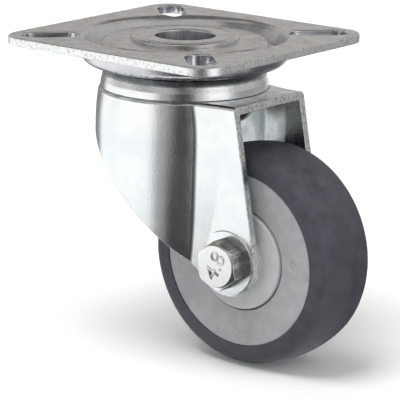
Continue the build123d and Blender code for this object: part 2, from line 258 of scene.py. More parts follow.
# %% Sections of the pressed plate
PLATE_SIDE, PLATE_CORNER, PLATE_EDGE = 60.0, 6.0, 0.3
plate_top = rounded(
    [(25.9, 0), (23.17, 0), (21.5, -4.6), (19.4, -4.6), (19.4, -1.2), (7.4, -1.2)],
    [0, 2.4, 1.1, 1.1, 2.2, 0],
    steps=10,
    closed=False,
)
plate_under = rounded(
    [(25.9, -2), (24.57, -2), (22.9, -6.6), (17.4, -6.6), (17.4, -3.2), (7.4, -3.2)],
    [0, 0.4, 3.1, 3.1, 0.25, 0],
    steps=10,
    closed=False,
)
RING_REACH, BEND_WIDTH, BEND_END = 23.3, 2.5, 26


def height_on(section, radius):
    """Height of a section at a distance from the axis, read between its outer points."""
    steep = section[section[:, 0] > RING_REACH - BEND_WIDTH]
    return np.interp(radius, steep[::-1, 0], steep[::-1, 1])


# %% Outlines of the border and of a slot
def square_outline(inset):
    """Square with round corners: corners of radius R - inset round a smaller square."""
    side = PLATE_SIDE / 2 - inset
    corners = [(-side, -side), (side, -side), (side, side), (-side, side)]
    line = rounded(corners, PLATE_CORNER - inset, steps=16)
    spans = np.diff(np.vstack([line, line[:1]]), axis=0)
    counts = np.maximum(1, np.round(np.linalg.norm(spans, axis=1) / 1.2)).astype(int)
    pieces = [
        point + span * np.arange(count)[:, None] / count
        for point, span, count in zip(line, spans, counts)
    ]
    return np.vstack(pieces)


SLOT_RADIUS, SLOT_START, SLOT_END = 3.1, 19.0 * sqrt(2), 24.0 * sqrt(2)


def slot_outline(corner, inset):
    """Diagonal slot: two half circles of radius r - inset joined by straight sides."""
    half = (SLOT_RADIUS - inset) * unit(np.linspace(-pi / 2, pi / 2, 25))
    line = np.vstack([(SLOT_END, 0) + half, (SLOT_START, 0) - half])
    swing = pi / 4 + corner * pi / 2
    spin = np.array([[cos(swing), sin(swing)], [-sin(swing), cos(swing)]])
    return line @ spin


# %% Flat border with its slots
RING_POINTS, FINE, COARSE = 288, 0.25, 1.5


def beyond_slots(spots):
    """Distance outside the nearest slot: from its middle line, less half its width."""
    along = np.abs(spots).sum(1) / sqrt(2)
    across = np.abs(np.abs(spots[:, 0]) - np.abs(spots[:, 1])) / sqrt(2)
    past = np.clip(along, SLOT_START, SLOT_END) - along
    return np.hypot(past, across) - SLOT_RADIUS


def border_points():
    """Border seen from above: loops of its edges, rings over the bend and a loose grid between."""
    circle = unit(full_turn(RING_POINTS))
    loops = [square_outline(PLATE_EDGE), RING_REACH * circle]
    loops += [slot_outline(corner, -PLATE_EDGE) for corner in range(4)]
    fill = [radius * circle for radius in np.arange(RING_REACH + FINE, BEND_END, FINE)]
    steps = np.arange(-28.5, 28.6, COARSE)
    loose = np.stack(np.meshgrid(steps, steps), -1).reshape(-1, 2)
    fill.append(loose[np.hypot(*loose.T) > BEND_END + 0.5])
    fill = np.vstack(fill)
    corner = np.maximum(np.abs(fill) - (PLATE_SIDE / 2 - PLATE_CORNER), 0)
    keep = np.hypot(*corner.T) < PLATE_CORNER - 0.7
    keep &= beyond_slots(fill) > 0.5
    holds = [square_outline(PLATE_EDGE + HOLD)]
    holds += [slot_outline(corner, -PLATE_EDGE - HOLD) for corner in range(4)]
    return loops, np.vstack(holds + [fill[keep]])


def triangulated(loops, fill):
    """Triangles inside the first loop that keep all loops as edges, and the middle of each."""
    edges, start = [], 0
    for loop in loops:
        number = np.arange(len(loop))
        edges.append(np.stack([number, np.roll(number, -1)], -1) + start)
        start += len(loop)
    spots = [Vector(spot) for spot in np.vstack([*loops, fill])]
    spots, _, faces, *_ = delaunay_2d_cdt(spots, np.vstack(edges).tolist(), [], 1, 1e-5)
    spots = np.array([tuple(spot) for spot in spots])
    faces = np.array([tuple(face) for face in faces])
    return spots, faces, spots[faces].mean(1)


def border_table(section):
    """Triangles over the border, with each point lifted to the section's height."""
    spots, faces, middle = triangulated(*border_points())
    inside = np.hypot(*middle.T) > RING_REACH * cos(pi / RING_POINTS)
    inside &= beyond_slots(middle) > PLATE_EDGE - 0.01
    height = height_on(section, np.hypot(*spots.T))
    return np.column_stack([spots, height]), faces[inside].tolist()


# %% Edges that join the top of the plate to its underside
def plate_edge(outline):
    """Carry a rounded edge along an outline: r (1 - sin s) in and r (1 - cos s) down, then up."""
    border = np.hypot(*outline(PLATE_EDGE).T)
    swing = np.linspace(0, pi / 2, 6)
    insets = np.append(PLATE_EDGE * (1 - np.sin(swing)), 0)
    drops = np.append(PLATE_EDGE * (1 - np.cos(swing)), PLATE_EDGE + HOLD)
    lines = [outline(inset) for inset in insets]
    top, under = height_on(plate_top, border), height_on(plate_under, border)
    rows = [np.column_stack([line, top - drop]) for line, drop in zip(lines, drops)]
    rows += [np.column_stack([line, under + drop]) for line, drop in zip(lines, drops)][::-1]
    return np.stack(rows)


plate_tables = [border_table(plate_top), border_table(plate_under)]
plate_tables += in_zone("torn", [skin(plate_edge(square_outline), wrap_columns=True)])
# The straight wall inside each slot gets painted shade.
slot_bands = [("clean", 6), ("dull", 7), ("clean", None)]
for corner in range(4):
    slot_edge = plate_edge(lambda inset: slot_outline(corner, -inset))
    plate_tables += banded(slot_edge, slot_bands, wrap_columns=True)

# %% Pressed ring of the plate
RACE_SEEN = -5.6
in_ring, under_ring = plate_top[:, 0] < RING_REACH, plate_under[:, 0] < RING_REACH
ring = np.vstack([
    [(RING_REACH, float(height_on(plate_top, RING_REACH)))],
    plate_top[in_ring],
    plate_under[under_ring][::-1],
    [(RING_REACH, float(height_on(plate_under, RING_REACH)))],
])
under_starts = 1 + np.count_nonzero(in_ring)
under_shows = np.flatnonzero(ring[:, 1] < RACE_SEEN)[-1]
# The underside of the ring, out to where the race shows, gets painted shade.
ring_bands = [("clean", under_starts), ("dull", under_shows), ("clean", None)]
ring_table = about_swivel(ring, full_turn(RING_POINTS))
plate_tables += banded(ring_table, ring_bands, across=True, wrap_rows=True)
make_piece("fixing_plate", plate_tables, "mount", "plate_zinc", "top_plate")

# %% [markdown]
# ## King pin and lower cup
# A hollow rivet holds the castor together. Its bore widens to a rounded mouth in the middle of the
# plate, a shallow ring is struck into its flat head, and its foot is rolled outwards under the cup
# that carries the lower balls. Pin and cup are turned shapes, and the pin's bore is painted dark
# inside as painted shade.

# %% Turn the king pin and the cup
BORE_WALL, BORE_SHADE_BELOW = 7.2, -3.0
pin_section = rounded(
    [
        (5.4, -20.35), (5.4, -7.0), (6.7, -4.5), (6.9, -0.2), (10.7, -0.2), (11.0, -0.36),
        (11.3, -0.2), (12.4, -0.2), (12.4, -1.2), (7.4, -1.2),
        (7.4, -19.05), (11.5, -19.05), (11.5, -20.35),
    ],
    [1.2, 1.5, 1.5, 0.45, 0.15, 0.1, 0.15, 0.6, 0.1, 0.1, 0.1, 0.3, 0.3],
    steps=8,
)
# The bore below its mouth gets painted shade.
in_bore = (pin_section[:, 0] < BORE_WALL) & (pin_section[:, 1] < BORE_SHADE_BELOW)
pin_bands = [("dull", np.flatnonzero(in_bore)[-1]), ("clean", None)]
pin_angles = full_turn(160)
pin_table = about_swivel(np.vstack([pin_section, pin_section[:1]]), pin_angles)
pin_tables = banded(pin_table, pin_bands, across=True, wrap_rows=True)
make_piece("king_pin_rivet", pin_tables, "mount", "plate_zinc", "king_pin")

cup_section = rounded(
    [(7.4, -19.05), (15.7, -19.05), (15.7, -12.0), (14.2, -12.0), (14.2, -17.55), (7.4, -17.55)],
    [0.1, 2.5, 0.2, 0.2, 1.0, 0.1],
    steps=8,
)
cup_table = skin(about_swivel(cup_section, pin_angles), True, True)
make_piece("lower_ball_cup", [cup_table], "mount", "cup_steel", "lower_cup")


# %% Balls of the two swivel races
def ball_table(centre, radius):
    """Sphere: a half circle, turned about the upright line through the centre."""
    half = radius * unit(np.linspace(pi / 2, -pi / 2, 25))
    return skin(about_swivel(half, full_turn(36)) + centre, wrap_rows=True)


TRACK_REACH, TRACK_Z = 14.35, -6.25
for level, count, pitch, height, radius in (
    ("upper", 14, TRACK_REACH, TRACK_Z, 3.0),
    ("lower", 10, 10.975, -14.325, 3.175),
):
    places = [(pitch * cos(angle), pitch * sin(angle), height) for angle in full_turn(count)]
    balls = [ball_table(place, radius) for place in places]
    make_piece(
        f"{level}_ball_set", balls, f"{level}_ball_ring", "ball_steel", f"{level}_balls"
    )

# %% [markdown]
# ## The fork
# The fork is pressed from one sheet. From above, its wall runs along one flat leg, through a
# hollow crease, round the barrel-shaped hood, and out along the other leg. The inside is the same
# shape one sheet thickness further in, so every function takes an inset and serves both faces.

# %% Sizes of the pressed fork
SHEET = 1.8
LEG_Y, CROWN = 12.8, -11.8
CREASE_TIGHT, CREASE_OPEN, RAMP_TURN = 2.0, 3.0, radians(11)
FOLD_OUTSIDE, FOLD_INSIDE = 1.0, 0.4
HOOD_WIDE, HOOD_WIDE_Z, HOOD_TOP, HOOD_LOW, HOOD_LOW_Z = 20.21, -20.3, 19.51, 16.71, -62.4
LEG_END, FRONT_CUT, REAR_LEAN = 7.7, radians(43), radians(10.4)
EDGE = 0.16
foot_x = AXLE_X - LEG_END * sin(FRONT_CUT)
foot_z = AXLE_Z - LEG_END * cos(FRONT_CUT)
rear_x = AXLE_X + LEG_END * cos(REAR_LEAN)
rear_z = AXLE_Z + LEG_END * sin(REAR_LEAN)


def fold_radius(inset):
    """Radius of the fold between the walls and the crown, on either face of the sheet."""
    return FOLD_INSIDE if inset else FOLD_OUTSIDE


def fold_from(inset):
    """Height where the fold starts: one fold radius under the crown, or under its underside."""
    return CROWN - inset - fold_radius(inset)


# %% Curves that shape the hood
def hood_radius(z):
    """Barrel: two arcs that meet upright where it is widest, r = R - A + sqrt(A^2 - dz^2)."""
    up = z > HOOD_WIDE_Z
    loss = np.where(up, HOOD_WIDE - HOOD_TOP, HOOD_WIDE - HOOD_LOW)
    span = np.where(up, CROWN - HOOD_WIDE_Z, HOOD_WIDE_Z - HOOD_LOW_Z)
    arc = (loss**2 + span**2) / (2 * loss)
    return HOOD_WIDE - arc + np.sqrt(arc**2 - (z - HOOD_WIDE_Z) ** 2)


def smooth(share):
    """Smooth step 3 t^2 - 2 t^3 from 0 to 1."""
    share = np.clip(share, 0, 1)
    return share * share * (3 - 2 * share)


RAMP_FOOT, RAMP_GROWS, RAMP_FROM, RAMP_SPAN = 2.4, 3.0, -52, 26


def ramp_length(z):
    """Straight part of the crease, which grows smoothly from the foot to the crown."""
    return RAMP_FOOT + RAMP_GROWS * smooth((z - RAMP_FROM) / RAMP_SPAN)


def crease_turn(z):
    """How far the crease turns from the leg to the barrel, so that it ends upright on both.

    It sinks by open (1 - cos r) + ramp sin r + tight (cos r - cos t) below the leg's plane, and
    that is where the barrel's circle stands at the same turn t: radius cos t below the axis.
    """
    sink = CREASE_OPEN * (1 - cos(RAMP_TURN)) + ramp_length(z) * sin(RAMP_TURN)
    reach = LEG_Y + sink + CREASE_TIGHT * cos(RAMP_TURN)
    return np.arccos(reach / (hood_radius(z) + CREASE_TIGHT))


def crease_x(z):
    """Where the leg's plane ends and the crease begins, counted back from the barrel."""
    turn = crease_turn(z)
    run = CREASE_OPEN * sin(RAMP_TURN) + ramp_length(z) * cos(RAMP_TURN)
    run = run + CREASE_TIGHT * (np.sin(turn) - sin(RAMP_TURN))
    return hood_radius(z) * np.sin(turn) + run


def cut_z(x, pull):
    """Sloping front cut of the sheet, drawn back by a pull for the rounded edge."""
    return foot_z + (foot_x - x) * tan(FRONT_CUT) + pull / cos(FRONT_CUT)


def rear_edge_x(z, pull):
    """Leaning rear edge of the legs and of the crown, drawn back by a pull."""
    return rear_x - (z - rear_z) * tan(REAR_LEAN) - pull / cos(REAR_LEAN)


# %% Wall of the hood with its two creases
CREASE_COLUMNS, HOOD_COLUMNS, WALL_ROWS = 28, 140, 44
ARC_SHARE, RAMP_SHARE = 0.25, 0.45


def wall_point(column, z, inset):
    """Point of the wall in the plane: in the crease for the outer shares, on the barrel else.

    column runs from 0 at the leg on -Y, past 1 where the crease meets the barrel, round to 2 and
    on to 3 at the leg on +Y. From the leg the crease is an open arc, a straight ramp and a tight
    arc. The inner face lies one inset further in along the level normal.
    """
    turn = crease_turn(z)
    share = np.clip(np.where(column < 1, column, 3 - column), 0, 1)
    opened = RAMP_TURN * np.clip(share / ARC_SHARE, 0, 1)
    ramp = ramp_length(z) * np.clip((share - ARC_SHARE) / (RAMP_SHARE - ARC_SHARE), 0, 1)
    swing = opened + (turn - RAMP_TURN) * np.clip((share - RAMP_SHARE) / (1 - RAMP_SHARE), 0, 1)
    along = CREASE_OPEN * np.sin(opened) + ramp * cos(RAMP_TURN)
    along = along + CREASE_TIGHT * (np.sin(swing) - np.sin(opened))
    sink = CREASE_OPEN * (1 - np.cos(opened)) + ramp * sin(RAMP_TURN)
    sink = sink + CREASE_TIGHT * (np.cos(opened) - np.cos(swing))
    bend_x = crease_x(z) - along - inset * np.sin(swing)
    bend_y = LEG_Y + sink - inset * np.cos(swing)
    beside = pi / 2 - turn
    around = -beside - (np.clip(column, 1, 2) - 1) * (2 * pi - 2 * beside)
    radius = hood_radius(z) - inset
    on_hood = (column >= 1) & (column <= 2)
    x = np.where(on_hood, radius * np.cos(around), bend_x)
    y = np.where(on_hood, radius * np.sin(around), bend_y * np.where(column < 1.5, -1, 1))
    return np.stack([x, y, z + 0 * x], -1)


crease_share = np.linspace(0, 1, CREASE_COLUMNS + 1)
wall_columns = np.concatenate(
    [crease_share, np.linspace(1, 2, HOOD_COLUMNS + 1)[1:-1], 2 + crease_share]
)


def wall_end(inset, pull):
    """Where each column meets the front cut: z = cut(x(z)), found by putting z back in."""
    z = np.full(len(wall_columns), -30.0)
    for _ in range(30):
        z = cut_z(wall_point(wall_columns, z, inset)[:, 0], pull)
    return z


def wall_table(inset):
    """Rows from the fold down to the cut; the last two are a hair apart beside the edge."""
    near, edge = wall_end(inset, EDGE + HOLD), wall_end(inset, EDGE)
    share = np.linspace(0, 1, WALL_ROWS)[:, None]
    start = fold_from(inset)
    z = np.vstack([start + (near - start) * share, edge])
    return wall_point(wall_columns[None] + 0 * z, z, inset)


# %% Flat legs
TOP_COLUMNS, HOLE_POINTS, LEG_GRID = 13, 120, 1.5
PAD, PAD_SLOPE, PAD_HEIGHT, PAD_FADE, AXLE_HOLE = 7.4, 0.25, 0.2, 1.5, 3.25
HEAD_BASE, GROOVE, GROOVE_DEPTH = 19.21, 0.14, 0.4
NEAR = EDGE + HOLD


def top_columns(z, pull, inset):
    """Places along a leg's top, evenly from the crease to the leaning rear edge."""
    start = float(crease_x(fold_from(inset)))
    return start + (rear_edge_x(z, pull) - start) * np.linspace(0, 1, TOP_COLUMNS)


def leg_edge(start, pull, top):
    """Cut edge of a leg as (x, z): down the front cut, round the end and up the leaning rear."""
    foot = np.array([foot_x + pull * sin(FRONT_CUT), foot_z + pull * cos(FRONT_CUT)])
    cut = start + (foot - start) * np.linspace(0, 1, 9)[:, None]
    swing = np.linspace(-pi / 2 - FRONT_CUT, REAR_LEAN, 57)[1:]
    end = unit(swing) * (LEG_END - pull) + AXLE
    z = np.linspace(end[-1, 1], top, 41)[1:]
    return np.vstack([cut, end, np.stack([rear_edge_x(z, pull), z], -1)])


def in_leg(line, side, inset):
    """Stand a line of (x, z) in the plane of a leg."""
    return np.stack([line[:, 0], side * (LEG_Y - inset) + 0 * line[:, 0], line[:, 1]], -1)


def inside_edge(spots):
    """How far a place in the leg's plane lies inside the front cut, the end and the rear."""
    away = spots - AXLE
    swing = np.arctan2(away[:, 1], away[:, 0])
    front = away @ (-sin(FRONT_CUT), -cos(FRONT_CUT))
    rear = away @ (cos(REAR_LEAN), sin(REAR_LEAN))
    on_end = (swing >= -pi / 2 - FRONT_CUT) & (swing <= REAR_LEAN)
    return LEG_END - np.where(on_end, np.hypot(*away.T), np.maximum(front, rear))


def pad_lift(spots):
    """Height of the raised pad: a rounded step at its rim, fading out where the crease begins."""
    step = smooth((PAD - np.hypot(*(spots - AXLE).T)) / PAD_SLOPE)
    return PAD_HEIGHT * step * smooth((spots[:, 0] - crease_x(spots[:, 1])) / PAD_FADE)


def leg_tables(wall, side, inset):
    """Triangles over a leg, kept to its border and its axle hole, and a narrow rim at the cut."""
    crease = wall[:, 0][:, [0, 2]]
    height = fold_from(inset)
    near, edge = leg_edge(crease[-2], NEAR, height), leg_edge(crease[-1], EDGE, height)
    top = top_columns(height, NEAR, inset)[1:-1][::-1]
    top = np.column_stack([top, np.full(len(top), height)])
    border = np.vstack([crease[:-2], near, top])
    circle = unit(full_turn(HOLE_POINTS))
    rings = [AXLE_HOLE, 4, 5, 6, *PAD - PAD_SLOPE * np.array([1.2, 1, 0.75, 0.5, 0.25, 0, -0.15])]
    rings = np.vstack([AXLE + circle * radius for radius in rings])
    hole, rings = rings[:HOLE_POINTS], rings[HOLE_POINTS:]
    grid = np.meshgrid(np.arange(12, 32, LEG_GRID), np.arange(-52, -13, LEG_GRID))
    grid = np.stack(grid, -1).reshape(-1, 2)
    grid = grid[np.hypot(*(grid - AXLE).T) > PAD + 0.5]
    fill = np.vstack([rings, grid])
    keep = (fill[:, 0] > crease_x(fill[:, 1]) + 0.2) & (fill[:, 1] < height - 0.5)
    fill = fill[keep & (inside_edge(fill) > NEAR + 0.02)]
    spots, faces, middle = triangulated([border, hole], fill)
    inside = np.hypot(*(middle - AXLE).T) > AXLE_HOLE * cos(pi / HOLE_POINTS)
    hole = in_leg(hole, side, inset - PAD_HEIGHT)
    face = in_leg(spots, side, inset - pad_lift(spots))
    rim = np.stack([in_leg(near, side, inset), in_leg(edge, side, inset)])
    return [(face, faces[inside].tolist()), skin(rim)], hole, rim[1]


# %% Fold between the walls and the crown
def fold_rows(spots, inward, inset):
    """Quarter circle from wall to crown: in by f (1 - cos s), up by f sin s, up to a stop.

    Outside, the stop is where the fold meets the head's circle, found by halving.
    """
    fold = fold_radius(inset)
    stop = HEAD_BASE if inset == 0 else 0
    low, high = np.zeros(len(spots)), np.full(len(spots), pi / 2)
    level = np.hypot(*(spots + inward * fold).T) >= stop - 1e-6
    for _ in range(45):
        middle = (low + high) / 2
        reach = np.hypot(*(spots + inward * (fold * (1 - np.cos(middle)))[:, None]).T)
        low, high = np.where(reach > stop, middle, low), np.where(reach > stop, high, middle)
    swing = np.linspace(0, 1, 11)[:, None] * np.where(level, pi / 2, low)
    spots = spots + inward * (fold * (1 - np.cos(swing)))[..., None]
    return np.dstack([spots, fold_from(inset) + fold * np.sin(swing)])


def leg_fold(side, inset):
    """Fold over a leg; behind the crease its columns spread to the leaning rear edge."""
    x = top_columns(fold_from(inset), NEAR, inset)
    spots = np.column_stack([x, np.full(len(x), side * (LEG_Y - inset))])
    rows = fold_rows(spots, np.tile([0.0, -side], (len(x), 1)), inset)
    for row in rows:
        row[1:, 0] = top_columns(row[-1, 2], NEAR, inset)[1:]
    edge = rows[:, -1:] + [(NEAR - EDGE) / cos(REAR_LEAN), 0, 0]
    return np.concatenate([rows, edge], 1)


def wall_fold(wall, inset):
    """Fold over the creases and the hood: it leans in along the wall's level normal."""
    spots = wall[0][:, :2]
    height = np.full(len(wall_columns), fold_from(inset))
    step = 0.1
    inward = (wall_point(wall_columns, height, inset + step)[:, :2] - spots) / step
    return fold_rows(spots, inward, inset)


# %% Crown and the head's two borders
def crown_rear(inset, pull):
    """Line across the crown at its leaning rear edge, from one leg's fold to the other."""
    z = CROWN - inset
    reach = LEG_Y - inset - fold_radius(inset)
    return np.array([[rear_edge_x(z, pull), y, z] for y in np.linspace(reach, -reach, 25)])


def crown_table(border, ring, collar=None):
    """Spokes from the head's circle to the border; a collar row between them makes a groove."""
    share = np.concatenate([[0, 0.02], np.linspace(0.1, 0.9, 9), [0.98, 1]])
    rows = between(ring if collar is None else collar, border, share)
    if collar is not None:
        rows = np.concatenate([ring[None], rows])
    return skin(rows, wrap_columns=True)


def collar_row(border):
    """Outer lip of the groove: just outside the head's circle, or at the fold if that is nearer."""
    radius = np.hypot(*border[:, :2].T)
    share = np.minimum(HEAD_BASE + GROOVE, radius) / radius
    height = np.where(radius > HEAD_BASE + 2 * GROOVE, CROWN, border[:, 2])
    return np.column_stack([border[:, :2] * share[:, None], height])


# %% Both faces of the sheet
def sheet_face(inset):
    """All tables of one face of the sheet, and the lines where the other face joins it.

    The border is the loop round the crown: the hood's fold, one leg's, the rear and the other
    leg's. The rim is the loop of the cut, from the crown down one leg, round and up the other.
    """
    wall = wall_table(inset)
    left, right = leg_fold(-1, inset), leg_fold(1, inset)
    across = wall_fold(wall, inset)
    rear = np.stack([crown_rear(inset, NEAR), crown_rear(inset, EDGE)])
    border = np.vstack([across[-1], right[-1, 1:-1], rear[0, 1:-1], left[-1, 1:-1][::-1]])
    left_tables, left_hole, left_rim = leg_tables(wall, -1, inset)
    right_tables, right_hole, right_rim = leg_tables(wall[:, ::-1], 1, inset)
    tables = [skin(table) for table in (wall, left, right, across)]
    tables += [*left_tables, *right_tables, skin(rear)]
    rim = np.vstack([
        left[::-1, -1][:-1], left_rim[::-1][:-1], wall[-1][:-1], right_rim,
        right[1:, -1], rear[1, 1:-1],
    ])
    return tables, border, rim, (left_hole, right_hole)


outer_tables, outer_border, outer_rim, outer_holes = sheet_face(0)
inner_tables, inner_border, inner_rim, inner_holes = sheet_face(SHEET)


# %% Cut edge of the sheet
def edge_direction(rim):
    """Which way the cut edge faces, seen from the side: off the front, the end or the rear."""
    from_axle = rim[:, [0, 2]] - AXLE
    swing = np.arctan2(from_axle[:, 1], from_axle[:, 0])
    front, rear = -pi / 2 - FRONT_CUT, REAR_LEAN
    on_end = (swing >= front) & (swing <= rear)
    behind = from_axle @ (cos(REAR_LEAN), sin(REAR_LEAN)) > LEG_END - 1
    swing = np.where(on_end, swing, np.where(behind, rear, front))
    return np.stack([np.cos(swing), 0 * swing, np.sin(swing)], -1)


def cut_edge():
    """Rows from the outer face to the inner one: rounded by r sin s out, r (1 - cos s) across."""
    swing = np.linspace(0, pi / 2, 5)
    out = EDGE * np.append(np.sin(swing), 1)
    across = np.append(EDGE * (1 - np.cos(swing)), EDGE + HOLD) / SHEET
    out = np.concatenate([out, out[::-1]])[:, None, None]
    across = np.concatenate([across, 1 - across[::-1]])
    return between(outer_rim, inner_rim, across) + edge_direction(outer_rim) * out


# %% The turned head on top of the crown
head_angles = np.arctan2(outer_border[:, 1], outer_border[:, 0])
TRACK, UNDER_TRACK = 3.05, 4.85
LIP, UNDER_WALL = (17.2136, -7.3), 17.01
under_wall_z = TRACK_Z - sqrt(UNDER_TRACK**2 - (UNDER_WALL - TRACK_REACH) ** 2)


def track_angle(radius, z):
    """Angle in degrees at which a point is seen from the middle of the balls."""
    return degrees(atan2(z - TRACK_Z, radius - TRACK_REACH))


def track(radius, start, end):
    """Arc of a ball track round the middle of the balls, between two angles in degrees."""
    return radius * unit(np.radians(np.linspace(start, end, 14))) + (TRACK_REACH, TRACK_Z)


upper_track = track(TRACK, track_angle(*LIP), -90)
head_section = np.vstack([
    rounded(
        [(HEAD_BASE - 0.25, CROWN - GROOVE_DEPTH), (HEAD_BASE - 0.25, CROWN - 0.05),
         (HEAD_BASE, CROWN + 0.1), (19.0, -10.2), (18.5, -8.5), (17.8, -7.4),
         LIP, upper_track[1]],
        [0, 0.05, 0.15, 2.5, 2.5, 0.6, 0.3, 0], closed=False,
    )[:-1],
    upper_track[2:],
    [(8.2, -9.3), (8.2, -11.1)],
    track(UNDER_TRACK, -90, track_angle(UNDER_WALL, under_wall_z)),
    [(UNDER_WALL, CROWN - SHEET)],
])
head_table = about_swivel(head_section, head_angles)
outer_ring, inner_ring = head_table[:, 0], head_table[:, -1]

# %% Join the fork: painted shade on the groove, the upper head with its ball tracks, and the inner face
HEAD_SHADE_ABOVE, GROOVE_ROWS = -8.8, 2
fork_tables = outer_tables + in_zone("dull", inner_tables)
fork_tables.append(crown_table(outer_border, outer_ring, collar_row(outer_border)))
fork_tables += in_zone("dull", [crown_table(inner_border, inner_ring)])
lip_row = np.argmax(head_section[:, 1])
shade_row = np.flatnonzero(head_section[:lip_row, 1] < HEAD_SHADE_ABOVE)[-1]
head_bands = [("dull", GROOVE_ROWS), ("clean", shade_row), ("dull", None)]
fork_tables += banded(head_table, head_bands, across=True, wrap_rows=True)
fork_tables += in_zone("torn", [skin(cut_edge(), wrap_columns=True)])
for holes in zip(outer_holes, inner_holes):
    fork_tables.append(skin(np.stack(holes), wrap_columns=True))
make_piece("pressed_fork", fork_tables, "fork", "fork_zinc", "fork")

# %% [markdown]
# ## The wheel
# A grey plastic rim is moulded round two ball bearings, and the soft tyre is moulded over the
# rim. Four round ejector marks, left by the pins that push a rim out of its mould, show on each
# side. The angles of the rim's table crowd together at the marks, where the form is finest.

# %% Rim with its ejector marks
half_rim = [
    (8.0, 0.8), (9.5, 0.8), (9.5, 6.8), (11.8, 6.8), (11.8, 8.15), (19.8, 8.65),
    (19.8, 2.6), (21.3, 2.6),
]
half_section = rounded(
    half_rim + [(r, -y) for r, y in half_rim[::-1]],
    [0, 0, 0, 0.2, 0.2, 0.22, 0.1, 0.1] + [0.1, 0.1, 0.22, 0.2, 0.2, 0, 0, 0],
    steps=4,
)
MARKS, MARK_CIRCLE, MARK_RADIUS, MARK_DEPTH = 4, 15.3, 1.45, 0.17
MARK_TURN, MARK_SPAN, MARK_SLOPE, CLOSE_ROWS, CLOSE_TURNS = 3.0, 6, 0.12, 0.075, 0.27


def with_face_rows(section):
    """Add close rows to the two flat faces, between the radii that the marks cover."""
    rows = []
    for start, end in zip(section, np.roll(section, -1, axis=0)):
        rows.append(start[None])
        if abs(start[0] - end[0]) > 5 and min(start[0], end[0]) > 10:
            radii = np.concatenate([[12.4, 13.2], np.arange(13.6, 17.0, CLOSE_ROWS), [17.6, 18.6]])
            radii = radii if start[0] < end[0] else radii[::-1]
            share = ((radii - start[0]) / (end[0] - start[0]))[:, None]
            rows.append(start + (end - start) * share)
    return np.vstack(rows)


mark_angles = np.radians(MARK_TURN + 360 / MARKS * np.arange(MARKS))
close = np.radians(np.arange(-MARK_SPAN, MARK_SPAN + 0.1, CLOSE_TURNS))
wide = np.radians(np.linspace(MARK_SPAN, 360 / MARKS - MARK_SPAN, 54)[1:-1])
rim_angles = (mark_angles[:, None] + np.append(close, wide)).ravel()
rim_points = about_axle(with_face_rows(half_section), rim_angles)
for middle in AXLE + MARK_CIRCLE * unit(mark_angles):
    away = np.linalg.norm(rim_points[..., [0, 2]] - middle, axis=-1)
    sunk = MARK_DEPTH * np.clip((MARK_RADIUS + MARK_SLOPE / 2 - away) / MARK_SLOPE, 0, 1)
    on_face = np.abs(rim_points[..., 1]) > 8
    rim_points[..., 1] -= np.sign(rim_points[..., 1]) * np.where(on_face, sunk, 0)
make_piece("grey_rim", [skin(rim_points, True, True)], "wheel", "rim_plastic", "rim")

# %% Tyre
TREAD_ARC, TREAD_CENTRE, TREAD_TURN = 31.115, -6.115, 0.2171
SHOULDER, SHOULDER_REACH, SHOULDER_Y = 2.8, 21.535, 6.1
tread = TREAD_ARC * unit(np.linspace(-TREAD_TURN, TREAD_TURN, 29)) + (TREAD_CENTRE, 0)


def shoulder(side):
    """Round shoulder between the tread and the side: centre + r (cos a, sin a)."""
    arc = SHOULDER * unit(np.linspace(TREAD_TURN, pi / 2, 15)[1:])
    return (arc + (SHOULDER_REACH, SHOULDER_Y)) * (1, side)


tyre_section = np.vstack([
    tread,
    shoulder(1),
    rounded(
        [(20.6, 8.9), (19.8, 8.9), (19.8, 2.6), (21.3, 2.6), (21.3, -2.6), (19.8, -2.6),
         (19.8, -8.9), (20.6, -8.9)],
        [0, 0.15, 0.1, 0.1, 0.1, 0.1, 0.15, 0],
        steps=3,
        closed=False,
    ),
    shoulder(-1)[::-1],
])
tyre_table = skin(about_axle(tyre_section, full_turn(300)), True, True)
make_piece("soft_tyre", [tyre_table], "wheel", "tyre_rubber", "tyre")

# %% Thread guards, whose mark paints them paler: partly a paler plastic, partly a painted sheen
guard_section = rounded(
    [(4.6, 7.1), (11.4, 7.1), (11.4, 8.8), (6.6, 8.8), (6.6, 11.2), (4.6, 11.2)],
    [0.1, 0.2, 0.4, 0.3, 0.2, 0.1],
)
for name, side in (("nut_side", 1), ("head_side", -1)):
    guard_table = skin(about_axle(guard_section * (1, side), full_turn(180)), True, True)
    guard_tables = in_zone("dull", [guard_table])
    make_piece(f"{name}_guard", guard_tables, "fork", "rim_plastic", f"{name}_thread_guard")

# %% [markdown]
# ## Axle bolt and nut
# A hexagon is also a function of the angle round the axle: the flats give r = a / cos(angle), and
# a small circle rounds each corner. The chamfer is a cone, so its depth at a point follows from
# how far that point lies outside the round face. The thread is a groove that climbs by one pitch
# in every turn.

# %% Hexagon as a polar curve
FLAT, CORNER_ROUND, FACE_ROUND, CHAMFER = 5.0, 0.3, 4.7, radians(60)


def hexagon(turn):
    """Directions and reach of a hexagon with round corners, six equal fans of 25 points."""
    near_corner = np.linspace(-3, 3, 13)
    near_flat = np.linspace(3, 57, 14)[1:-1]
    fan = np.radians(np.concatenate([near_corner, near_flat]))
    from_corner = np.where(fan > pi / 6, fan - pi / 3, fan)
    corner = (FLAT - CORNER_ROUND) / cos(pi / 6)
    under = np.maximum(CORNER_ROUND**2 - (corner * np.sin(from_corner)) ** 2, 0)
    arc = corner * np.cos(from_corner) + np.sqrt(under)
    flat = FLAT / np.cos(np.abs(from_corner) - pi / 6)
    edge = np.arctan2(CORNER_ROUND / 2, corner + CORNER_ROUND * cos(pi / 6))
    reach = np.where(np.abs(from_corner) < edge, arc, flat)
    angles = (fan + np.radians(60 * np.arange(6))[:, None] + radians(turn)).ravel()
    return angles, np.tile(reach, 6)


def polar_rows(angles, rows):
    """Table round the axle from rows of (reach, place), each a number or one per angle."""
    reach, place = (np.stack([part + 0 * angles for part in column]) for column in zip(*rows))
    table = [reach * np.cos(angles), place, reach * np.sin(angles)]
    return np.stack(table, -1) + (AXLE_X, 0, AXLE_Z)


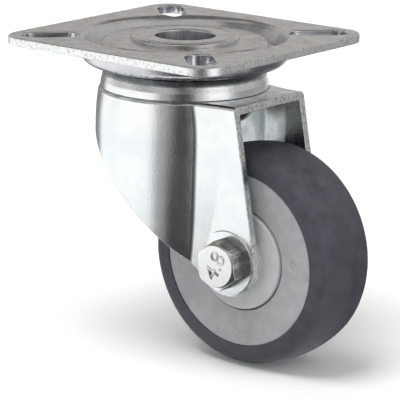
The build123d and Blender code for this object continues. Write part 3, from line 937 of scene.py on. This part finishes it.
def hexagon_rows(reach, base, face):
    """Rows up a hexagon to its chamfered face: depth = (r - face radius) / tan of the chamfer."""
    out = 1 if face > base else -1
    depth = (reach - FACE_ROUND) / tan(CHAMFER)
    return [
        (reach - 0.15, base),
        (reach, base + 0.1 * out),
        (reach, base + 0.2 * out),
        (reach, face - (depth + 0.08) * out),
        (reach - 0.02, face - (depth + 0.02) * out),
        (reach - 0.08, face - (depth - 0.03) * out),
        (FACE_ROUND + 0.04, face - 0.05 * out),
        (FACE_ROUND - 0.05, face - 0.01 * out),
        (FACE_ROUND - 0.15, face),
    ]


# %% Bolt with its rolled thread
SHANK, PITCH, THREAD_DEPTH = 2.95, 1.0, 0.5
SEAT, BOLT_FACE, NUT_FACE, NUT_TOP, BOLT_END = 13.0, -17.0, 17.6, 19.0, 22.0
angles, reach = hexagon(37)
head_rows = [(0, BOLT_FACE), (2.3, BOLT_FACE), (4.3, BOLT_FACE)]
head_rows += hexagon_rows(reach, -SEAT, BOLT_FACE)[::-1]
thread = []
for place in np.arange(18.2, BOLT_END + 0.001, 0.08):
    climb = (place / PITCH + angles / (2 * pi)) % 1
    groove = THREAD_DEPTH * np.clip(1.35 * (1 - np.abs(2 * climb - 1)) - 0.25, 0, 1)
    point = np.clip(place - BOLT_END + 0.7, 0, 1)
    thread.append((np.minimum(SHANK - groove, SHANK - point), place))
bolt_rows = head_rows + [(SHANK, -SEAT), (SHANK, 18.0)] + thread + [(0.0, BOLT_END)]
# The hexagon's flats, down to the seat, get a dark brown painted shade.
bolt_bands = [("clean", 8), ("dull", 11), ("clean", None)]
bolt_tables = banded(polar_rows(angles, bolt_rows), bolt_bands, wrap_columns=True)
make_piece("axle_hex_bolt", bolt_tables, "fork", "bolt_zinc", "axle_bolt", sharp=50)

# %% Locking nut
angles, reach = hexagon(0)
nut_rows = hexagon_rows(reach, SEAT, NUT_FACE) + [
    (4.32, NUT_FACE), (4.3, 17.7), (4.3, 18.6), (4.2, 18.85), (3.95, NUT_TOP), (3.45, NUT_TOP),
    (3.45, 18.5), (3.95, 18.5), (3.95, 17.2), (SHANK, 17.2), (SHANK, SEAT),
]
nut_tables = [skin(polar_rows(angles, nut_rows), wrap_rows=True, wrap_columns=True)]
make_piece("locking_nut", nut_tables, "fork", "bolt_zinc", "axle_nut", sharp=50)

# %% Strength mark on the bolt head
def raised_text(body, size, raised, centre, reading):
    """Numbers from a font, made a mesh, then stood on the bolt's face along a reading direction.

    The sides of the numbers get painted shade, which draws a dark outline round the strokes.
    """
    curve = bpy.data.curves.new("strength_mark", "FONT")
    curve.body, curve.size, curve.extrude, curve.offset = body, size, raised / 2, 0.02
    curve.align_x, curve.align_y, curve.resolution_u = "CENTER", "CENTER", 6
    letter = put("strength_mark", curve)
    bpy.context.view_layer.update()
    flat = bpy.data.meshes.new_from_object(
        letter.evaluated_get(bpy.context.evaluated_depsgraph_get())
    )
    bpy.data.objects.remove(letter)
    spots = read(flat.vertices, "co", 3)
    rightwards = np.array([cos(reading), 0, sin(reading)])
    upwards = np.array([-sin(reading), 0, cos(reading)])
    place = np.outer(spots[:, 0], rightwards) + np.outer(spots[:, 1], upwards)
    place[:, 1] = -spots[:, 2]
    faces = [list(face.vertices) for face in flat.polygons]
    sides = [face for face in faces if np.ptp(spots[face, 2]) > raised / 2]
    caps = [face for face in faces if np.ptp(spots[face, 2]) <= raised / 2]
    bpy.data.meshes.remove(flat)
    return [(place + centre, caps), (place + centre, sides, "dull")]


RAISED, SUNK, MARK_SIZE, READING = 0.16, 0.02, 5.4, radians(65.7)
mark_centre = (AXLE_X + 0.085, BOLT_FACE - RAISED / 2 + SUNK, AXLE_Z + 0.115)
mark_tables = raised_text("4.8", MARK_SIZE, RAISED, mark_centre, READING)
make_piece("strength_mark", mark_tables, "fork", "bolt_zinc")

# %% [markdown]
# ## Finishes
# Zinc plating is never one flat grey. It has clouds of warmer and cooler tint, a fine grain from
# the bath, lines from the press, and small bright places where edges have rubbed. Each of those
# effects is a small group of nodes that several materials use with their own values.

# %% Helpers for nodes
def add(tree, kind, inputs=(), **settings):
    """Add a node, set its options, and fill its sockets with values or links to other sockets."""
    node = tree.nodes.new("ShaderNode" + kind)
    for option, value in settings.items():
        setattr(node, option, value)
    for socket, value in dict(inputs).items():
        if isinstance(value, bpy.types.NodeSocket):
            tree.links.new(value, node.inputs[socket])
        else:
            node.inputs[socket].default_value = value
    return node


def use(tree, group, **values):
    """Place an effect in a material; words in a socket's name are joined by an underline here."""
    inputs = {socket.replace("_", " "): value for socket, value in values.items()}
    return add(tree, "Group", inputs, node_tree=group).outputs


def math(tree, operation, first, second, clamp=False):
    """One sum of two numbers or sockets."""
    inputs = {0: first, 1: second}
    return add(tree, "Math", inputs, operation=operation, use_clamp=clamp).outputs[0]


def weigh(tree, first, first_share, second, second_share):
    """Weighted sum of two sockets: first times its share plus second times its share."""
    first = math(tree, "MULTIPLY", first, first_share)
    return math(tree, "ADD", first, math(tree, "MULTIPLY", second, second_share))


def spread(tree, value, low, high, to_low=0.0, to_high=1.0):
    """Stretch a value from one range to another with soft ends."""
    inputs = {0: value, 1: low, 2: high, 3: to_low, 4: to_high}
    return add(tree, "MapRange", inputs, interpolation_type="SMOOTHSTEP").outputs[0]


def blend_colour(tree, share, first, second):
    """Mix two colours by a share, each a value or a socket."""
    return add(tree, "Mix", {0: share, 6: first, 7: second}, data_type="RGBA").outputs[2]


def noise(tree, scale, detail, roughness, place=None):
    """Noise in the piece's own coordinates, or at a given place."""
    if place is None:
        place = add(tree, "TexCoord").outputs["Object"]
    inputs = {"Vector": place, "Scale": scale, "Detail": detail, "Roughness": roughness}
    return add(tree, "TexNoise", inputs).outputs["Fac"]


def stored(tree, name):
    """A number that the mesh keeps for each of its points."""
    return add(tree, "Attribute", attribute_name=name, attribute_type="GEOMETRY").outputs["Fac"]


def effect(name, inputs, *outputs):
    """Make a node group out of a function that returns one socket for each of its outputs.

    The inputs are numbers or colours, by the value that each starts with.
    """
    def build(function):
        group = bpy.data.node_groups.new(name, "ShaderNodeTree")
        for socket, value in inputs.items():
            kind = "NodeSocketColor" if isinstance(value, tuple) else "NodeSocketFloat"
            made = group.interface.new_socket(socket, in_out="INPUT", socket_type=kind)
            made.default_value = value
        for socket in outputs:
            kind = "NodeSocketColor" if socket == "Color" else "NodeSocketFloat"
            group.interface.new_socket(socket, in_out="OUTPUT", socket_type=kind)
        starts = group.nodes.new("NodeGroupInput").outputs
        ends = group.nodes.new("NodeGroupOutput").inputs
        for socket, result in zip(outputs, function(group, starts)):
            group.links.new(result, ends[socket])
        return group
    return build


def start_finish(name):
    """Make an empty material and hand back its tree and its Principled shader."""
    material = bpy.data.materials.new(name)
    material.use_nodes = True
    tree = material.node_tree
    return material, tree, tree.nodes["Principled BSDF"]


def connect(tree, shader, colour, roughness, height, distance):
    """Feed a shader its colour, roughness and a bump of a given depth in metres."""
    bump = add(tree, "Bump", {"Height": height, "Distance": distance, "Strength": 1.0})
    tree.links.new(bump.outputs[0], shader.inputs["Normal"])
    tree.links.new(colour, shader.inputs["Base Color"])
    tree.links.new(roughness, shader.inputs["Roughness"])


# %% Effect: clouded plating
@effect("clouded_plating", {
    "Light": (0.9, 0.92, 0.93, 1), "Deep": (0.8, 0.83, 0.85, 1),
    "Cloud Scale": 120.0, "Grain Scale": 2600.0,
}, "Color", "Cloud", "Grain")
def clouded_plating(group, ask):
    """Two tints mixed by soft clouds, with a fine grain that also roughens and lifts the skin."""
    cloud = spread(group, noise(group, ask["Cloud Scale"], 5.0, 0.62), 0.34, 0.66)
    grain = noise(group, ask["Grain Scale"], 3.0, 0.7)
    share = weigh(group, cloud, 0.75, spread(group, grain, 0.3, 0.75), 0.25)
    return blend_colour(group, share, ask["Deep"], ask["Light"]), cloud, grain


# %% Effect: drawn lines and hairline scratches
@effect(
    "drawn_lines", {"Across": 900.0, "Along": 14.0, "Turn X": 0.0, "Turn Z": 0.0}, "Lines"
)
def drawn_lines(group, ask):
    """Noise squeezed along one direction, so that it becomes long thin lines."""
    turn = add(group, "CombineXYZ", {"X": ask["Turn X"], "Z": ask["Turn Z"]}).outputs[0]
    size = {"X": ask["Across"], "Y": ask["Across"], "Z": ask["Along"]}
    size = add(group, "CombineXYZ", size).outputs[0]
    place = add(group, "TexCoord").outputs["Object"]
    turned = add(group, "Mapping", {"Vector": place, "Rotation": turn}).outputs[0]
    squeezed = add(group, "VectorMath", {0: turned, 1: size}, operation="MULTIPLY").outputs[0]
    return [noise(group, 1.0, 3.0, 0.6, squeezed)]


# %% Effect: worn edges
@effect("worn_edges", {"Patch Scale": 700.0, "Amount": 0.7}, "Wear")
def worn_edges(group, ask):
    """The stored edge strength, broken up by noise so that the wear comes and goes."""
    patch = spread(group, noise(group, ask["Patch Scale"], 4.0, 0.65), 0.35, 0.62)
    worn = math(group, "MULTIPLY", spread(group, stored(group, "edge"), 0.15, 0.9), patch)
    return [math(group, "MULTIPLY", worn, ask["Amount"], clamp=True)]


# %% Effect: sheared edge
@effect("sheared_edge", {
    "Light": (0.96, 0.97, 0.97, 1), "Deep": (0.55, 0.56, 0.57, 1),
    "Speck Scale": 1300.0, "Torn": 0.42,
}, "Color", "Mask", "Relief")
def sheared_edge(group, ask):
    """Marked edges: a bright burnished band, broken by dark specks where a noise is low."""
    mask, speck = stored(group, "torn"), noise(group, ask["Speck Scale"], 3.0, 0.6)
    low = math(group, "SUBTRACT", ask["Torn"], 0.12)
    bright = spread(group, speck, low, math(group, "ADD", ask["Torn"], 0.12))
    colour = blend_colour(group, bright, ask["Deep"], ask["Light"])
    return colour, mask, math(group, "MULTIPLY", mask, speck)


# %% Effect: zone of painted shade
@effect("painted_tone_zone", {"Patch Scale": 240.0, "Amount": 1.0}, "Dull")
def painted_tone_zone(group, ask):
    """Painted shade on marked faces in uneven patches; on the thread guards a paler tone."""
    patch = spread(group, noise(group, ask["Patch Scale"], 4.0, 0.6), 0.3, 0.7, 0.65, 1.0)
    dull = math(group, "MULTIPLY", stored(group, "dull"), patch)
    return [math(group, "MULTIPLY", dull, ask["Amount"], clamp=True)]


# %% Effect: settled dust
@effect("settled_dust", {"Patch Scale": 260.0, "Amount": 0.3}, "Dust")
def settled_dust(group, ask):
    """Dust lies where a face looks up, in uneven patches: upward slope times noise."""
    upward = add(group, "SeparateXYZ", {0: add(group, "NewGeometry").outputs["Normal"]}).outputs[2]
    patch = spread(group, noise(group, ask["Patch Scale"], 5.0, 0.7), 0.36, 0.7)
    dust = math(group, "MULTIPLY", spread(group, upward, 0.1, 1.0), patch)
    return [math(group, "MULTIPLY", dust, ask["Amount"], clamp=True)]


# %% Effect: moulded skin
@effect("moulded_skin", {
    "Light": (0.4, 0.41, 0.42, 1), "Deep": (0.33, 0.34, 0.35, 1),
    "Mottle Scale": 420.0, "Grain Scale": 5200.0,
}, "Color", "Mottle", "Grain")
def moulded_skin(group, ask):
    """Soft mottle of flow in the mould, and the fine spark-eroded texture of its walls."""
    mottle = spread(group, noise(group, ask["Mottle Scale"], 6.0, 0.68), 0.32, 0.68)
    grain = noise(group, ask["Grain Scale"], 2.0, 0.5)
    return blend_colour(group, mottle, ask["Deep"], ask["Light"]), mottle, grain


# %% [markdown]
# ## Zinc in layers
# Every metal here is one recipe with its own values. Clouds and lines set how sharply it
# reflects. Over that lie rubbed edges, dust where a face looks up, a dark film of painted shade in
# the shaded zones, and the bright, speckled metal of sheared edges.

# %% Recipe for plated steel
CLOUD_SHARE, WEAR_POLISH = 0.55, 0.08
# The first is the extra roughness where a zone of painted shade lies.
SHADED_ZONE_ROUGH, TORN_ROUGH, TORN_RELIEF = 0.2, 0.12, 1.5


def zinc(name, light, deep, gloss, cloud, lines=(900.0, 14.0, 0.0, 0.0), line_depth=0.3,
         bump=0.00001, wear=0.6, rubbed=(0.93, 0.94, 0.95, 1), torn=0.42,
         shade_film=(0.30, 0.30, 0.29, 1), dust=0.0, dust_colour=(0.42, 0.41, 0.43, 1)):
    """Plated steel whose roughness runs between the two values of its gloss.

    Lines are given by how close they lie across and along, and by two turns. Each layer is mixed
    over the last one by its own mask, so a sheared edge hides the painted shade below it.
    """
    material, tree, shader = start_finish(name)
    plating = use(tree, clouded_plating, Light=light, Deep=deep, Cloud_Scale=cloud)
    across, along, turn_x, turn_z = lines
    drawn = use(tree, drawn_lines, Across=across, Along=along, Turn_X=turn_x, Turn_Z=turn_z)
    drawn = spread(tree, drawn["Lines"], 0.3, 0.7)
    worn = use(tree, worn_edges, Amount=wear)["Wear"]
    settled = use(tree, settled_dust, Amount=dust)["Dust"]
    dull = use(tree, painted_tone_zone)["Dull"]
    sheared = use(tree, sheared_edge, Torn=torn)
    colour = plating["Color"]
    # Each layer over the last: rubbed edges, dust, painted shade in the shaded zones, sheared
    # edges.
    for mask, layer in ((worn, rubbed), (settled, dust_colour), (dull, shade_film),
                        (sheared["Mask"], sheared["Color"])):
        colour = blend_colour(tree, mask, colour, layer)
    uneven = weigh(tree, plating["Cloud"], CLOUD_SHARE, drawn, 1 - CLOUD_SHARE)
    roughness = spread(tree, uneven, 0.1, 0.9, *gloss)
    polish = math(tree, "MULTIPLY", worn, WEAR_POLISH)
    roughness = math(tree, "SUBTRACT", roughness, polish, clamp=True)
    rougher = weigh(tree, dull, SHADED_ZONE_ROUGH, sheared["Mask"], TORN_ROUGH)
    roughness = math(tree, "ADD", roughness, rougher, clamp=True)
    height = weigh(tree, plating["Grain"], 1 - line_depth, drawn, line_depth)
    height = math(tree, "ADD", height, math(tree, "MULTIPLY", sheared["Relief"], TORN_RELIEF))
    shader.inputs["Metallic"].default_value = 1.0
    connect(tree, shader, colour, roughness, height, bump)
    return material


# %% [markdown]
# ## The plate's satin zinc
# The plate is handled more than the rest, so its plating is duller, a little warm, and dusty on
# top. Below it, beside the ball race, its underside is painted dark as painted shade. Its
# sheared border is bright with specks.

# %% Plate finish
finishes = {}
finishes["plate_zinc"] = zinc(
    "satin_zinc_plate", (0.84, 0.84, 0.88, 1), (0.74, 0.74, 0.77, 1), (0.17, 0.30),
    cloud=160.0, lines=(520.0, 90.0, 0.0, 0.6), bump=0.00003, shade_film=(0.15, 0.16, 0.165, 1),
    torn=0.4, dust=0.9, dust_colour=(0.57, 0.52, 0.46, 1),
)

# %% [markdown]
# ## The fork's bright zinc
# The fork is the showpiece: bright, slightly blue, with faint upright lines where the sheet was
# drawn over the punch. Its inner face is painted darker and rougher, as painted shade, and its
# sheared edge is speckled: bright where the punch burnished it, darker where the sheet tore.

# %% Fork finish
finishes["fork_zinc"] = zinc(
    "bright_zinc_fork", (0.97, 0.985, 0.99, 1), (0.84, 0.87, 0.885, 1), (0.08, 0.17),
    cloud=110.0, lines=(700.0, 16.0, 0.0, 0.0), line_depth=0.1, bump=0.00004, torn=0.45,
    shade_film=(0.42, 0.45, 0.455, 1), dust=0.9, dust_colour=(0.50, 0.43, 0.49, 1),
)

# %% Bolt and nut finish, with its lines turned to run along the axle
finishes["bolt_zinc"] = zinc(
    "bright_zinc_bolt", (0.97, 0.975, 0.965, 1), (0.88, 0.885, 0.87, 1), (0.14, 0.26),
    cloud=300.0, lines=(1500.0, 120.0, 1.571, 0.0), bump=0.000006, shade_film=(0.22, 0.20, 0.18, 1),
)

# %% [markdown]
# ## Bearing metals
# The parts that one only glimpses between the rings still get their own finish: the cup carries
# a brown film of grease, balls are polished, bearing rings are ground, and the cages are brass.

# %% Cup, balls, rings and cages
finishes["cup_steel"] = zinc(
    "greased_zinc_cup", (0.62, 0.55, 0.46, 1), (0.36, 0.31, 0.25, 1), (0.22, 0.42), cloud=220.0,
    rubbed=(0.55, 0.5, 0.44, 1),
)
finishes["bearing_steel"] = zinc(
    "ground_bearing_steel", (0.72, 0.73, 0.74, 1), (0.6, 0.61, 0.62, 1), (0.2, 0.34),
    cloud=400.0, lines=(2400.0, 60.0, 1.571, 0.0), wear=0.0,
)
finishes["ball_steel"] = zinc(
    "polished_ball_steel", (0.80, 0.81, 0.83, 1), (0.70, 0.71, 0.73, 1), (0.06, 0.16),
    cloud=500.0, wear=0.0,
)
finishes["cage_brass"] = zinc(
    "pressed_cage_brass", (0.78, 0.6, 0.3, 1), (0.6, 0.44, 0.2, 1), (0.2, 0.36),
    cloud=500.0, wear=0.0,
)

# %% [markdown]
# ## Plastic and rubber
# The rim is moulded plastic with a soft mottle and a dull sheen. The tyre is a matt rubber: pale
# dust settles in its pores, and its edges are rubbed a little lighter.

# %% Recipe for moulded parts
# Paler tone of the thread guards: partly a paler plastic, partly a painted sheen.
PALE_PLASTIC_AND_SHEEN = (0.62, 0.63, 0.64, 1)
DUST_ROUGH, GRAIN_SHARE = 0.3, 0.6


def moulded(name, light, deep, gloss, mottle, grain, bump, dust, dust_colour, wear, rubbed):
    """Plastic or rubber: mottled colour, dust on upward faces and lighter rubbed edges.

    On the thread guards the mark paints a paler tone: partly a paler plastic, partly a painted
    sheen.
    """
    material, tree, shader = start_finish(name)
    mould = use(
        tree, moulded_skin, Light=light, Deep=deep, Mottle_Scale=mottle, Grain_Scale=grain
    )
    settled = use(tree, settled_dust, Amount=dust)["Dust"]
    worn = use(tree, worn_edges, Amount=wear)["Wear"]
    colour = mould["Color"]
    for mask, layer in ((use(tree, painted_tone_zone)["Dull"], PALE_PLASTIC_AND_SHEEN), (worn, rubbed),
                        (settled, dust_colour)):
        colour = blend_colour(tree, mask, colour, layer)
    roughness = spread(tree, mould["Mottle"], 0, 1, *gloss)
    rougher = math(tree, "MULTIPLY", settled, DUST_ROUGH)
    roughness = math(tree, "ADD", roughness, rougher, clamp=True)
    height = weigh(tree, mould["Grain"], GRAIN_SHARE, mould["Mottle"], 1 - GRAIN_SHARE)
    connect(tree, shader, colour, roughness, height, bump)
    return material


# %% Rim, tyre and the nut's nylon
finishes["rim_plastic"] = moulded(
    "moulded_grey_plastic", (0.48, 0.495, 0.505, 1), (0.40, 0.413, 0.425, 1), (0.42, 0.56),
    mottle=420.0, grain=3800.0, bump=0.00002, dust=0.1, dust_colour=(0.5, 0.5, 0.49, 1),
    wear=0.5, rubbed=(0.6, 0.61, 0.62, 1),
)
finishes["tyre_rubber"] = moulded(
    "matt_grey_rubber", (0.074, 0.081, 0.099, 1), (0.047, 0.052, 0.066, 1), (0.5, 0.68),
    mottle=300.0, grain=3200.0, bump=0.00003, dust=0.25, dust_colour=(0.2, 0.21, 0.22, 1),
    wear=0.3, rubbed=(0.13, 0.14, 0.155, 1),
)
finishes["insert_nylon"] = moulded(
    "natural_nylon", (0.8, 0.81, 0.79, 1), (0.7, 0.71, 0.69, 1), (0.35, 0.5),
    mottle=600.0, grain=4000.0, bump=0.00001, dust=0.05, dust_colour=(0.6, 0.6, 0.58, 1),
    wear=0.0, rubbed=(0.8, 0.8, 0.8, 1),
)

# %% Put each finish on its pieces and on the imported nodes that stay
for piece, slot in dressed:
    piece.data.materials.append(finishes[slot])
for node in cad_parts.values():
    for place, material in enumerate(node.data.materials):
        node.data.materials[place] = finishes[material.name.split(".")[0]]
print("finished", len(dressed), "pieces and", len(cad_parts), "packed nodes")

# %% [markdown]
# ## Studio
# The castor stands on a white floor under soft light. Polished zinc shows little colour of its
# own: what it shows is the room, so grey and dark glowing cards stand round it, a painted
# reflection of a studio. Only reflections see the cards. The floor and the world look white to
# the camera and to reflections, and they light the object at a plain level.

# %% Floor
FLOOR_Z, FLOOR_REACH = -72.0, 3000
WHITE = (1, 1, 1, 1)


def seen_white(tree, plain, seen, output):
    """Mix of two shaders: the second for rays from the camera, a reflection or a clear body."""
    path = add(tree, "LightPath").outputs
    rays = math(tree, "MAXIMUM", path["Is Camera Ray"], path["Is Glossy Ray"])
    rays = math(tree, "MAXIMUM", rays, path["Is Transmission Ray"])
    mixed = add(tree, "MixShader", {0: rays, 1: plain, 2: seen}).outputs[0]
    tree.links.new(mixed, tree.nodes[output].inputs["Surface"])


def stage_sheet(name, points, faces, material):
    """A sheet of the studio from its points, in millimetres; it is no part of the castor."""
    sheet = put(name, mesh_of(name, points, faces))
    sheet.data.materials.append(material)
    return sheet


floor_finish, tree, shader = start_finish("studio_floor")
tree.nodes.remove(shader)
plain = add(tree, "BsdfDiffuse", {"Color": (0.8, 0.8, 0.8, 1)}).outputs[0]
lit = add(tree, "BsdfDiffuse", {"Color": WHITE}).outputs[0]
glow = add(tree, "Emission", {"Color": WHITE, "Strength": 0.08}).outputs[0]
seen_white(tree, plain, add(tree, "AddShader", {0: lit, 1: glow}).outputs[0], "Material Output")
floor_corners = [(x * FLOOR_REACH, y * FLOOR_REACH, FLOOR_Z)
                 for x, y in ((-1, -1), (1, -1), (1, 1), (-1, 1))]
stage_sheet("studio_floor", floor_corners, [(0, 1, 2, 3)], floor_finish)

# %% [markdown]
# ## What the metal reflects
# Bright zinc is a mirror with a grain: its tones are the tones of the room. So the room is
# painted as patches, each with a span of compass angle, a span of height angle and a level:
# white paper to the left, a grey and a dark curtain by the camera, a window to the right, duller
# walls and a doorway behind, and a dark ceiling. The same patches colour a glowing fan on the
# floor and a glowing tent above it, painted reflections that only reflections see.

# %% The room as patches of brightness
ROOM = [
    ("dim ceiling in front", -180, -98, 21, 52, 0.20),
    ("dim corner on the left", 160, 176, -90, 30, 0.45),
    ("dim ceiling over the window", -45, 5, 42, 70, 0.32),
    ("dark ceiling overhead", -180, 180, 64, 90, 0.16),
    ("dark ceiling behind", 80, 176, 40, 66, 0.16),
    ("white paper", -187, -88, -90, 9, 1.05),
    ("white paper, higher in front", -142, -88, -90, 16, 1.05),
    ("dark doorway behind on the left", 134, 173, -90, 12, 0.25),
    ("wall behind on the right", 96, 123, -90, 11, 0.72),
    ("wall behind", 21, 96, -90, 11, 0.32),
    ("grey curtain", -88, -68, -90, 21, 0.38),
    ("dark curtain", -68, -37, -90, 25, 0.075),
    ("grey screen", -37, -23, -90, 25, 0.50),
    ("window", -23, 13, -90, 26, 1.06),
    ("window frame", 13, 21, -90, 24, 0.50),
]
CEILING, SOFT_SIDES, SOFT_ENDS = 0.50, 3.0, 3.5


def in_span(angles, first, last, soft):
    """1 well inside a span of angles and 0 well outside, with a smooth step between."""
    outside = np.abs((angles - (first + last) / 2 + 180) % 360 - 180) - (last - first) / 2
    return smooth((soft - outside) / (2 * soft))


def room_level(azimuth, elevation):
    """Brightness seen in a direction: patches laid over the ceiling in their order."""
    level = CEILING + 0 * azimuth * elevation
    for _, first, last, low, high, patch in ROOM:
        share = in_span(azimuth, first, last, SOFT_SIDES) * in_span(elevation, low, high, SOFT_ENDS)
        level = level * (1 - share) + patch * share
    return level


# %% Glowing grid that only reflections see
def reflected_grid(name, points, level, tint):
    """Grid of points that glows with a stored level; camera, light and shadow pass through it."""
    material, tree, shader = start_finish(name)
    tree.nodes.remove(shader)
    glow = add(tree, "Emission", {"Color": tint, "Strength": stored(tree, "level")}).outputs[0]
    tree.links.new(glow, tree.nodes["Material Output"].inputs["Surface"])
    grid = stage_sheet(name, *skin(points), material)
    store(grid.data, "level", level.ravel())
    grid.visible_camera = grid.visible_diffuse = grid.visible_shadow = False
    grid.visible_transmission = grid.visible_volume_scatter = False


# %% Fan on the floor
# The fan is painted darker near the castor, as painted shade, and darker still where the castor's
# shadow falls, as a painted shadow; the patches by the camera stand a little aside, as they do
# where a fold of the curtain meets the floor.
TENT_REACH, SKEW, NEAR_SHADE, CAST_SHADE = 700.0, 7.5, 0.28, 0.65


def fading(reach, full, none):
    """1 up to one distance from the castor and 0 beyond another, evenly between."""
    return np.clip((none - reach) / (none - full), 0, 1)


azimuth = np.linspace(-180, 180, 361)
reach = np.array([30, 45, 60, 75, 90, 110, 130, 160, 200, 250, 400, TENT_REACH])[:, None]
skew = SKEW * fading(reach, 80, 240) * in_span(azimuth, -88, -52, 7)
cast = CAST_SHADE * fading(reach, 130, 190) * in_span(azimuth, 24, 100, 12)
shade = (1 - NEAR_SHADE * fading(reach, 60, 120)) * (1 - cast)
fan = reach[..., None] * unit(np.radians(azimuth))
fan = np.dstack([fan, np.full(fan.shape[:2], FLOOR_Z + 0.3)])
floor_level = room_level(azimuth + skew, 0.0) * shade
reflected_grid("reflected_floor", fan, floor_level, (0.985, 1.0, 1.0, 1))

# %% Tent above
around, rise = np.meshgrid(azimuth, np.linspace(0, 90, 91))
quarter = TENT_REACH * unit(np.radians(rise[:, 0]))
tent = about_swivel(quarter, np.radians(azimuth)).transpose(1, 0, 2) + (0, 0, FLOOR_Z)
reflected_grid("reflected_tent", tent, room_level(around, rise), (1.0, 0.985, 0.96, 1))

# %% World and lamps
world = bpy.data.worlds.new("studio")
bpy.context.scene.world = world
world.use_nodes = True
tree = world.node_tree
plain = add(tree, "Background", {"Color": WHITE, "Strength": 0.32}).outputs[0]
seen = add(tree, "Background", {"Color": WHITE, "Strength": 1.0}).outputs[0]
seen_white(tree, plain, seen, "World Output")


def soft_sun(name, azimuth, elevation, strength, width):
    """Far lamp from a compass angle and a height angle, as wide in the sky as a large softbox."""
    lamp = bpy.data.lights.new(name, "SUN")
    lamp.energy, lamp.angle = strength, radians(width)
    holder = put(name, lamp)
    azimuth, elevation = radians(azimuth), radians(elevation)
    level = cos(elevation)
    towards = Vector((cos(azimuth) * level, sin(azimuth) * level, sin(elevation)))
    holder.rotation_euler = towards.to_track_quat("Z", "Y").to_euler()
    holder.visible_glossy = False


soft_sun("key", -108, 72, 1.7, 32)
soft_sun("side", 172, 58, 0.3, 30)
soft_sun("right", -5, 40, 0.34, 44)
soft_sun("fill", -62, 30, 0.42, 60)

# %% Camera
YAW, ELEVATION, ROLL, DISTANCE = radians(38.385), radians(14.302), radians(0.813), 563.46
TARGET = (9.948, -6.319, -36.0)
camera = put("camera", bpy.data.cameras.new("camera"))
camera.data.lens, camera.data.sensor_width = 224.84, 36.0
camera.data.clip_start, camera.data.clip_end = 0.01, 20
bpy.context.scene.camera = camera
back = np.array([sin(YAW) * cos(ELEVATION), -cos(YAW) * cos(ELEVATION), sin(ELEVATION)])
right = np.array([cos(YAW), sin(YAW), 0.0])
up = np.cross(back, right)
stand = np.eye(4)
stand[:3, 0] = cos(ROLL) * right + sin(ROLL) * up
stand[:3, 1] = cos(ROLL) * up - sin(ROLL) * right
stand[:3, 2] = back
stand[:3, 3] = (TARGET + back * DISTANCE) * MM
camera.matrix_world = Matrix(stand.tolist())

# %% Colour view
bpy.context.scene.view_settings.view_transform = "Standard"
